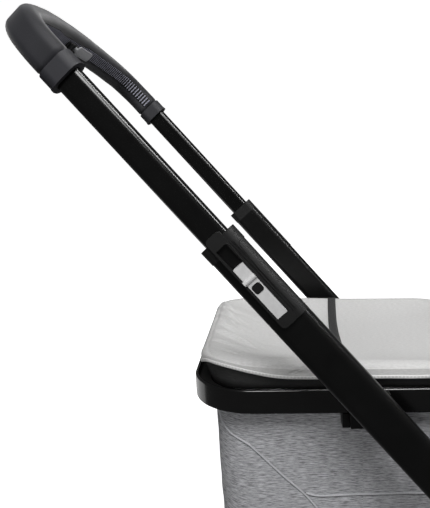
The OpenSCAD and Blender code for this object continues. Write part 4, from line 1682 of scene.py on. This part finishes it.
    def build(self) -> None:
        """Makes and hands over every piece of the cover."""
        cloth = deliver(self.build_cloth(), "cover", ["cover"])
        band = deliver(self.build_band(), "cover")
        stitches = deliver(self.build_stitches(), "cover")
        skirt = deliver(self.build_skirt(), "cover", ["cover_skirt"])
        strap, rows = self.build_strap()
        deliver(strap, "cover", ["hold_down_strap"])
        deliver(rows, "cover")
        cut = (2 * self.cut.half_x, 2 * self.cut.half_y)
        area = cut[0] * cut[1] - (4 - math.pi) * self.cut.radius**2
        self.hem.around


# ---- Handle ------------------------------------------------------------------------------


@dataclass(frozen=True)
class TubeLine:
    """The line of the side tubes, which the handle and the locks follow."""

    rim_top: float
    side: float = 235 * MM
    angle: float = math.radians(50)

    @property
    def along(self) -> Array:
        """Direction up the tubes."""
        return np.array([-math.cos(self.angle), 0.0, math.sin(self.angle)])

    @property
    def across(self) -> Array:
        """Direction square to the handle's plane, towards the upper right."""
        return np.array([math.sin(self.angle), 0.0, math.cos(self.angle)])

    def at(self, t: Array | float, y: Array | float, n: Array | float = 0.0) -> Array:
        """A point from its place on the tube line.

        Args:
            t: distance up the tubes from the rim's top plane.
            y: place across the basket.
            n: distance out of the handle's plane.

        Returns:
            The point, or a row for each.
        """
        t, y, n = np.broadcast_arrays(np.asarray(t, float), y, n)
        base, sideways = np.array([0.0, 0.0, self.rim_top]), np.array([0, 1.0, 0])
        return base + t[..., None] * self.along + y[..., None] * sideways + n[..., None] * self.across


@dataclass
class Grip:
    """Padded grip round the handle, with the handle's tube, the seam tape and the lacing; the grip's zip is
    made by Zip.
    """

    line: TubeLine
    start: float = 493 * MM
    bend_start: float = 504 * MM
    bend_r: float = 65 * MM
    bow_half: float = math.radians(17.5)
    deep: float = 39 * MM
    thick: float = 28 * MM
    corner: float = 11 * MM
    seam_width: float = 15 * MM
    seam_pitch: float = 5.4 * MM
    seam_shift: float = 2 * MM
    seam_rise: float = 3 * MM
    seam_sunk: float = 0.8 * MM
    end_round: float = 2.4 * MM
    lace_thick: tuple[float, float] = (2.3 * MM, 1.3 * MM)
    bar_start: float = 60 * MM
    bar_deep: float = 31.3 * MM
    bar_thick: float = 17 * MM
    bar_corner: float = 8 * MM
    bar_wall: float = 1.6 * MM

    def path(self, step: float = 2.4 * MM) -> tuple[Array, Array]:
        """The handle's centre line through the grip.

        Args:
            step: distance between points.

        Returns:
            Rows of (across the basket, up the tubes), and headings from up towards across.
        """
        turn = math.pi / 2 - self.bow_half
        bow_r = (self.line.side - self.bend_r * (1 - math.sin(self.bow_half))) / math.sin(self.bow_half)
        arm = np.arange(self.start, self.bend_start, step)
        h1 = np.linspace(0, turn, max(2, int(self.bend_r * turn / step)))
        h2 = np.linspace(turn, math.pi / 2, max(2, int(bow_r * self.bow_half / step)))[1:]
        y1 = self.bend_r * (1 - np.cos(h1)) - self.line.side
        t1 = self.bend_start + self.bend_r * np.sin(h1)
        y2 = y1[-1] + bow_r * (math.cos(turn) - np.cos(h2))
        t2 = t1[-1] + bow_r * (np.sin(h2) - math.sin(turn))
        y = np.concatenate([np.full(len(arm), -self.line.side), y1, y2])
        t = np.concatenate([arm, t1, t2])
        h = np.concatenate([np.zeros(len(arm)), h1, h2])
        mirrored = ((y, -y[-2::-1]), (t, t[-2::-1]), (h, math.pi - h[-2::-1]))
        y, t, h = (np.concatenate(halves) for halves in mirrored)
        return np.column_stack([y, t]), h

    def ring(self, place: Array, heading: float, outline: Array) -> Array:
        """A section set square to the path.

        Args:
            place: (across, up) of the path.
            heading: the path's heading.
            outline: rows of (out of the loop, out of the handle's plane).

        Returns:
            Points of the ring.
        """
        y = place[0] - outline[:, 0] * math.cos(heading)
        t = place[1] + outline[:, 0] * math.sin(heading)
        return self.line.at(t, y, outline[:, 1])

    def outline(self) -> tuple[Array, Array]:
        """The grip's section.

        Returns:
            Rows of (out of the loop, out of the plane), and distances round it.
        """
        form = Outline(self.thick / 2, self.deep / 2, self.corner)
        where = form.steps(56)
        return form.walk(where)[0], where

    def build_bar(self) -> bpy.types.Object:
        """The handle's tube from the lower end of one arm to that of the other."""
        places, headings = replace(self, start=self.bar_start).path(4 * MM)
        form = Outline(self.bar_thick / 2, self.bar_deep / 2, self.bar_corner)
        where = form.steps(64)
        section = form.walk(where)[0]
        rings = np.array([self.ring(place, heading, section) for place, heading in zip(places, headings)])
        return thicken(loft("handle_bar", rings, ARM_PAINT, where), self.bar_wall)

    def build_skin(self) -> bpy.types.Object:
        """The padded skin, drawn in along its laced seam."""
        places, headings = self.path()
        outline, where = self.outline()
        gone = travelled(places)
        inner = ease(-outline[:, 0], self.thick / 2 - 1.2 * MM, self.thick / 2 - 0.2 * MM)
        inner *= np.exp(-((outline[:, 1] / (6.0 * MM)) ** 4))
        rings = []
        for place, heading, s in zip(places, headings, gone):
            end = min(s, gone[-1] - s)
            shrink = 1 - self.end_round / (self.thick / 2) * float(1 - ease(end, 0.4 * MM, 4.2 * MM))
            puff = 0.16 * MM * math.sin(s / (23 * MM)) + 0.12 * MM * math.sin(s / (9 * MM) + 1)
            section = outline * (shrink + puff / self.thick)
            section[:, 0] += inner * self.seam_sunk
            rings.append(self.ring(place, heading, section))
        return loft("grip_skin", np.array(rings), GRIP_SKIN, where, poles=True)

    def inner_line(self, depth: float) -> tuple[Array, Array, Array]:
        """A line along the inside of the grip.

        Args:
            depth: how far it lies inside the handle's centre line.

        Returns:
            Its points, the directions into the loop and the directions across the seam.
        """
        places, headings = self.path()
        places, headings = places[3:-3], headings[3:-3]
        off_zip = ease(np.abs(places[:, 0] + 15 * MM), 34 * MM, 70 * MM)
        shift = self.seam_rise * off_zip + self.seam_shift * ease(np.abs(places[:, 0]), 90 * MM, 190 * MM)
        ends = [
            np.array([self.ring(p, h, np.array([[-d, n]]))[0] for p, h, n in zip(places, headings, shift)])
            for d in (depth, depth * 1.1)
        ]
        inward = ends[1] - ends[0]
        inward /= np.linalg.norm(inward, axis=1)[:, None]
        return ends[0], inward, np.tile(self.line.across, (len(places), 1))

    def build_bed(self) -> bpy.types.Object:
        """The dark tape that the lacing lies on."""
        middle, inward, across = self.inner_line(self.thick / 2 - 1.0 * MM)
        half = self.seam_width / 2 + 0.8 * MM
        section = [(-1, 0.0), (-1, 0.9), (-0.8, 1.35), (0.8, 1.35), (1, 0.9), (1, 0.0)]
        rings = np.array([
            [point + side * half * a + way * b * MM for a, b in section]
            for point, way, side in zip(middle, inward, across)
        ])
        lengths = np.array([0, 1, 3, 14, 16, 17]) * MM
        return loft("grip_seam_tape", rings, SEAM_BED, lengths, poles=True)

    def build_lacing(self) -> bpy.types.Object:
        """Thread bars across the seam along the inside of the grip."""
        path, inward, _ = self.inner_line(self.thick / 2 + 0.3 * MM)
        size = (self.lace_thick[0], self.seam_width, self.lace_thick[1])
        return Rows.along("grip_lacing", path, inward, self.seam_pitch, size, LACE_THREAD, Shape.RIB)

    def build(self) -> None:
        """Makes and hands over the handle's tube and the grip's pieces."""
        deliver(self.build_bar(), "handle", ["handle_tube"])
        deliver(self.build_skin(), "handle", ["grip_cover"])
        deliver(self.build_bed(), "handle", ["grip_seam"])
        deliver(self.build_lacing(), "handle")


@dataclass
class Zip:
    """The slider of the grip's zip, and its pull."""

    line: TubeLine
    across: float = -15 * MM
    face: float = 579.23 * MM
    width: float = 11 * MM
    length: float = 28 * MM
    plate: float = 2 * MM
    lobe_r: float = 3.2 * MM
    lobes: tuple[float, float] = (-7 * MM, 2.33 * MM)
    lug: float = 1.5 * MM
    bar_y: float = 12.5 * MM
    bar_z: float = 4.7 * MM
    bar_r: float = 1.2 * MM
    pull_width: float = 15 * MM
    pull_length: float = 56 * MM
    pull_thick: float = 2.2 * MM
    pull_start: float = 6 * MM
    pull_lift: float = math.radians(1)
    edge_half: float = 0.5 * MM
    edge_high: float = 0.85 * MM
    edge_sunk: float = 0.15 * MM
    edge_stitch: tuple[float, float, float] = (2.1 * MM, 0.5 * MM, 0.35 * MM)

    def placed(self, points: Array) -> Array:
        """Turns points of the zip's own frame into the scene's.

        Args:
            points: rows of (across the grip, along the crossbar, away from the grip).

        Returns:
            The points in the scene.
        """
        points = np.asarray(points, float)
        return self.line.at(self.face - points[..., 2], self.across + points[..., 1], -points[..., 0])

    def raised(self, points: Array) -> Array:
        """Turns points of the pull's own frame, whose origin is on the bar, into the scene's.

        Args:
            points: rows of (across the pull, along it, through it).

        Returns:
            The points in the scene.
        """
        c, s = math.cos(self.pull_lift), math.sin(self.pull_lift)
        y = self.bar_y + points[..., 1] * c - points[..., 2] * s
        z = self.bar_z + points[..., 1] * s + points[..., 2] * c
        return self.placed(np.stack([points[..., 0], y, z], axis=-1))

    def slab(
        self, name: str, outline: Outline, centre: tuple[float, float],
        levels: Sequence[tuple[float, float]], finish: Finish, place: Callable[[Array], Array],
    ) -> bpy.types.Object:
        """A plate with softened edges.

        Args:
            name: the piece's name.
            outline: its outline.
            centre: where its middle lies.
            levels: rows of (height, inset).
            finish: its finish.
            place: what turns its points into the scene's.

        Returns:
            The new object.
        """
        rings = []
        for z, inset in levels:
            form = outline.inset(inset)
            flat = form.walk(form.steps(48))[0] + np.array(centre)
            rings.append(np.column_stack([flat, np.full(len(flat), z)]))
        return loft(name, place(np.array(rings)), finish, outline.steps(48), poles=True)

    def barrel(self, name: str, y: float, z: float, radius: float, half: float) -> bpy.types.Object:
        """A round bar across the zip, with softened ends.

        Args:
            name: the piece's name.
            y: its place along the crossbar.
            z: its height.
            radius: its radius.
            half: half its length.

        Returns:
            The new object.
        """
        turn = circle(20)
        rings = []
        end = ((-1, 0.55), (-0.97, 0.8), (-0.86, 0.97), (-0.4, 1.0))
        for x, r in (*end, (0.0, 0.94), *((-x, r) for x, r in reversed(end))):
            round_y, round_z = r * radius * np.cos(turn), r * radius * np.sin(turn)
            rings.append(np.column_stack([np.full(len(turn), x * half), y + round_y, z + round_z]))
        return loft(name, self.placed(np.array(rings)), ZIP_METAL, turn * radius, poles=True)

    def build_slider(self) -> bpy.types.Object:
        """The slider: a plate, two lobes, and two lugs that hold the pull's bar."""
        body = Outline(self.width / 2, self.length / 2, 3.4 * MM)
        levels = [(0, 0.5 * MM), (0.4 * MM, 0), (self.plate - 0.6 * MM, 0), (self.plate, 0.8 * MM)]
        parts = [self.slab("slider_plate", body, (0, 0), levels, ZIP_METAL, self.placed)]
        for i, y in enumerate(self.lobes):
            parts.append(self.barrel(f"slider_lobe_{i}", y, self.lobe_r, self.lobe_r, self.width / 2))
        top = self.bar_z + self.lug
        lug = Outline(self.lug / 2, self.lug, 0.7 * MM)
        levels = [(0.5 * MM, 0), (top - 0.6 * MM, 0), (top, 0.35 * MM)]
        for side in (-1, 1):
            centre = (side * (self.width - self.lug) / 2, self.bar_y)
            parts.append(self.slab(f"slider_lug_{side + 1}", lug, centre, levels, ZIP_METAL, self.placed))
        parts.append(self.barrel("slider_bar", self.bar_y, self.bar_z, self.bar_r, self.width / 2 - 0.2 * MM))
        return merge("zip_runner", parts)

    @property
    def tab(self) -> tuple[Outline, tuple[float, float]]:
        """The pull tab's outline and the place of its middle."""
        return (
            Outline(self.pull_width / 2, self.pull_length / 2, self.pull_width / 3),
            (0.0, self.pull_start + self.pull_length / 2),
        )

    def build_pull(self) -> bpy.types.Object:
        """The pull: a padded tab that narrows to a loop round the bar."""
        outline, centre = self.tab
        half = self.pull_thick / 2
        soft = ((0.9 * MM, 1), (0.2 * MM, 0.7))
        lower = [(-half * z, inset) for inset, z in soft]
        levels = [*lower, (0, 0), *((-z, inset) for z, inset in lower[::-1])]
        tab = self.slab("pull_tab", outline, centre, levels, PULL_SKIN, self.raised)
        levels = [(-half, 0.4 * MM), (-half * 0.5, 0), (half * 0.5, 0), (half, 0.4 * MM)]
        form = Outline(3.7 * MM, 5 * MM, 1.2 * MM)
        neck = self.slab("pull_neck", form, (0, 4.6 * MM), levels, PULL_SKIN, self.raised)
        turn = circle(24)
        rings = []
        for x, r in ((-3.7, 1.35), (-3.4, 2.25), (0, 2.4), (3.4, 2.25), (3.7, 1.35), (3.5, 1.3), (-3.5, 1.3)):
            rings.append(np.column_stack([np.full(len(turn), x), r * np.cos(turn), r * np.sin(turn)]) * MM)
        eye = loft("pull_eye", self.raised(np.array(rings)), PULL_SKIN, turn * 2.4 * MM, closed=True)
        return merge("zip_tab", [tab, neck, eye])

    def build_edge(self) -> bpy.types.Object:
        """The tab's raised edge bead, paler than the tab as a painted highlight of its edge, and the stitches
        inside it.
        """
        outline, centre = self.tab
        flat, ways = outline.walk(outline.steps(160))
        turn = circle(8)
        rings = np.array([
            np.column_stack([
                spot + way * (self.edge_half * np.cos(turn) - self.edge_sunk)[:, None],
                self.edge_high * np.sin(turn),
            ])
            for spot, way in zip(flat + centre, ways)
        ])
        # The bead is raised, and its pale finish is a painted highlight along the tab's edge.
        parts = [loft("tab_edge_highlight_bead", self.raised(rings), PULL_EDGE, turn * self.edge_half, closed=True)]
        border = outline.inset(2 * MM)
        inner = border.walk(np.linspace(0, border.around, 120))[0] + centre
        for side in (-1, 1):
            height = np.full(len(inner), side * self.pull_thick / 2 * 0.98)
            path, above = (self.raised(np.column_stack([inner, height + up])) for up in (0, side * MM))
            out = (above - path) / MM
            row = Rows.along(f"tab_row_{side + 1}", path, out, 3 * MM, self.edge_stitch, PULL_THREAD)
            parts.append(row)
        return merge("zip_tab_edge", parts)

    def build(self) -> None:
        """Makes and hands over the zip's pieces."""
        deliver(self.build_slider(), "handle", ["zip_slider"])
        deliver(self.build_pull(), "zip_pull", ["zip_pull"])
        deliver(self.build_edge(), "zip_pull")


@dataclass(frozen=True)
class LockGrooveShade:
    """Thin dark beads laid on the faces of the two lock housings: painted shade of their grooves.

    Each route is given in places (up the tubes, out of their plane).
    """

    line: TubeLine
    wide: float = 1.2 * MM
    step: float = 0.8 * MM
    face_out: float = 11 * MM
    routes: tuple[tuple[tuple[float, float], ...], ...] = (
        (
            (161, 11.5), (195, 13.3), (227, 15.2), (229.6, 17), (230, 20),
            (229, 22.6), (226.5, 23.8), (190, 23), (163, 21),
        ),
        ((160, 8.8), (200, 9.4), (238, 9.8)),
        ((160, 10.3), (200, 11.2), (236, 12.2)),
        ((236, -6), (238, 2), (237.4, 6), (234, 8), (212, 6.6)),
    )

    def course(self, route: Sequence[tuple[float, float]]) -> Array:
        """Even steps along a route with its corners rounded."""
        knots = np.array(route) * MM
        gone = travelled(knots)
        steps = np.arange(0, gone[-1], self.step)
        return np.column_stack([soften(np.interp(steps, gone, knots[:, k]), 7) for k in (0, 1)])

    def build(self, nodes: dict[str, bpy.types.Object]) -> None:
        """Makes and hands over the painted groove shade of both housings.

        Args:
            nodes: the CAD nodes by name.
        """
        for name, sign in (("near", -1), ("far", 1)):
            housing = nodes[f"{name}_lock_housing"]
            tree = BVHTree.FromObject(housing, bpy.context.evaluated_depsgraph_get())
            back = housing.matrix_world.inverted()
            cords = []
            for i, route in enumerate(self.routes):
                places = self.course(route)
                starts = self.line.at(places[:, 0], sign * 0.4, places[:, 1])
                way = back.to_3x3() @ Vector((0, -sign, 0))
                hits = [tree.ray_cast(back @ Vector(p), way)[0] for p in starts]
                path = np.array([tuple(housing.matrix_world @ hit) for hit in hits if hit is not None])
                path = path[np.abs(path[:, 1]) > self.line.side + self.face_out]
                out = np.tile([0.0, float(sign), 0.0], (len(path), 1))
                bead = cord(f"{name}_groove_{i}", path, out, self.wide / 2, GROOVE_SHADE, 8, flat=0.5)
                cords.append(bead)
            deliver(merge(f"{name}_lock_groove_shade", cords), "frame")


# ---- Studio ------------------------------------------------------------------------------


class Light(Enum):
    """What a light shows in."""

    ALL = "all"
    FILL = "matt surfaces only"
    GLEAM = "glossy surfaces only"


@dataclass(frozen=True)
class Studio:
    """Pale floor, soft lights and the camera."""

    eye: tuple[float, float, float] = (-0.1002, -0.8359, 0.5019)
    yaw: float = math.radians(5.82)
    pitch: float = math.radians(8.397)
    roll: float = math.radians(-2.998)
    lens: float = 40.81
    ambient: float = 0.1
    glow: float = 0.9
    lamps: tuple[tuple, ...] = (
        ("key", (0.0, -1.8, 2.3), (0, 0, 0.25), (1.5, 1.0), 60, Light.ALL),
        ("front", (-0.6, -2.2, 0.9), (0, 0, 0.2), (1.2, 0.8), 11, Light.FILL),
        ("side", (1.5, -0.2, 1.4), (-0.1, 0, 0.35), (0.9, 1.6), 13, Light.FILL),
        ("back", (0.9, 0.9, 1.9), (-0.2, 0, 0.5), (1.4, 0.8), 4, Light.FILL),
        ("rear", (-0.6, 2.2, 0.9), (0, 0, 0.2), (1.4, 1.0), 11, Light.FILL),
        ("rim_gleam", (0.35, -0.72, 1.6), (0.03, -0.185, 0.24), (0.9, 0.25), 4, Light.GLEAM),
        ("end_gleam", (-0.62, 0.3, 0.0), (-0.2, -0.15, 0.225), (0.6, 0.35), 0.5, Light.GLEAM),
    )
    tube_gleam: tuple = ((0.5, -0.35, 1.37), (-0.23, -0.235, 0.52), (0.08, 1.3), 12)
    up_tube: tuple[float, float, float] = (-0.68, 0.05, 0.73)

    def camera(self) -> None:
        """Sets the camera."""
        cy, sy, cp, sp = math.cos(self.yaw), math.sin(self.yaw), math.cos(self.pitch), math.sin(self.pitch)
        forward = Vector((-sy * cp, cy * cp, -sp))
        level, upright = Vector((cy, sy, 0)), Vector((-sy * sp, cy * sp, cp))
        right = math.cos(self.roll) * level + math.sin(self.roll) * upright
        up = -math.sin(self.roll) * level + math.cos(self.roll) * upright
        data = bpy.data.cameras.new("view")
        data.lens, data.sensor_width, data.clip_start = self.lens, 36.0, 0.02
        camera = stand("view", data)
        turn = Matrix((right, up, -forward)).transposed()
        camera.matrix_world = Matrix.Translation(self.eye) @ turn.to_4x4()
        bpy.context.scene.camera = camera

    def light(
        self, name: str, at: Sequence[float], to: Sequence[float], size: tuple[float, float],
        power: float, shows: Light, along: Sequence[float] = (0, 0, 1),
    ) -> None:
        """Sets one soft light.

        Args:
            name: its name.
            at: where it stands.
            to: what it points at.
            size: its width and height.
            power: its power in watts.
            shows: what it lights.
            along: the direction that its height follows.
        """
        data = bpy.data.lights.new(name, "AREA")
        data.shape, data.size, data.size_y, data.energy = "RECTANGLE", *size, power
        lamp = stand(name, data)
        lamp.visible_camera = False
        lamp.visible_diffuse = shows is not Light.GLEAM
        lamp.visible_glossy = shows is not Light.FILL
        back = (Vector(at) - Vector(to)).normalized()
        up = (Vector(along) - back * back.dot(Vector(along))).normalized()
        turn = Matrix((up.cross(back), up, back)).transposed()
        lamp.matrix_world = Matrix.Translation(at) @ turn.to_4x4()

    def floor(self) -> None:
        """Sets a plain pale floor that curves up into a wall."""
        half, back, r = 6.0, 5.0, 1.5
        turn = np.linspace(0, math.pi / 2, 16)
        bend = [(back + r * math.sin(a), r * (1 - math.cos(a))) for a in turn]
        section = [(-4.0, 0.0), *bend, (back + r, 7.0)]
        points = np.array([[x, y, z - 0.2 * MM] for y, z in section for x in (-half, half)])
        faces = [(2 * i, 2 * i + 1, 2 * i + 3, 2 * i + 2) for i in range(len(section) - 1)]
        floor = piece_from("floor", points, faces, Foam("pale_floor", (0.93, 0.93, 0.93), depth_mm=0.0))
        shader = next(n for n in floor.data.materials[0].node_tree.nodes if n.type == "BSDF_PRINCIPLED")
        shader.inputs["Emission Color"].default_value = (1, 1, 1, 1)
        shader.inputs["Emission Strength"].default_value = self.glow
        floor.visible_glossy = floor.visible_diffuse = False

    def surround(self) -> None:
        """Sets a white background that lights the object only dimly."""
        world = bpy.data.worlds.new("studio")
        world.use_nodes = True
        tree = world.node_tree
        white, dim = tree.nodes["Background"], tree.nodes.new("ShaderNodeBackground")
        white.inputs["Color"].default_value = dim.inputs["Color"].default_value = (1, 1, 1, 1)
        dim.inputs["Strength"].default_value = self.ambient
        path, mix = tree.nodes.new("ShaderNodeLightPath"), tree.nodes.new("ShaderNodeMixShader")
        tree.links.new(path.outputs["Is Camera Ray"], mix.inputs[0])
        tree.links.new(dim.outputs[0], mix.inputs[1])
        tree.links.new(white.outputs[0], mix.inputs[2])
        tree.links.new(mix.outputs[0], tree.nodes["World Output"].inputs["Surface"])
        bpy.context.scene.world = world

    def build(self) -> None:
        """Sets up everything that isn't part of the object."""
        self.camera()
        self.floor()
        self.surround()
        bpy.context.scene.view_settings.view_transform = "Standard"
        for name, at, to, size, power, shows in self.lamps:
            self.light(name, at, to, size, power, shows)
        self.light("tube_gleam", *self.tube_gleam, Light.GLEAM, self.up_tube)


def main() -> None:
    """Builds the scene."""
    logging.basicConfig(level=logging.INFO, format="%(name)s: %(message)s")
    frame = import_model()
    Studio().build()
    paint_nodes(frame["nodes"])
    rim = Rim.from_frame()
    Tub(rim).build()
    Cover(rim).build()
    line = TubeLine(rim.top)
    Grip(line).build()
    Zip(line).build()
    LockGrooveShade(line).build(frame["nodes"])


if __name__ == "__main__":
    main()
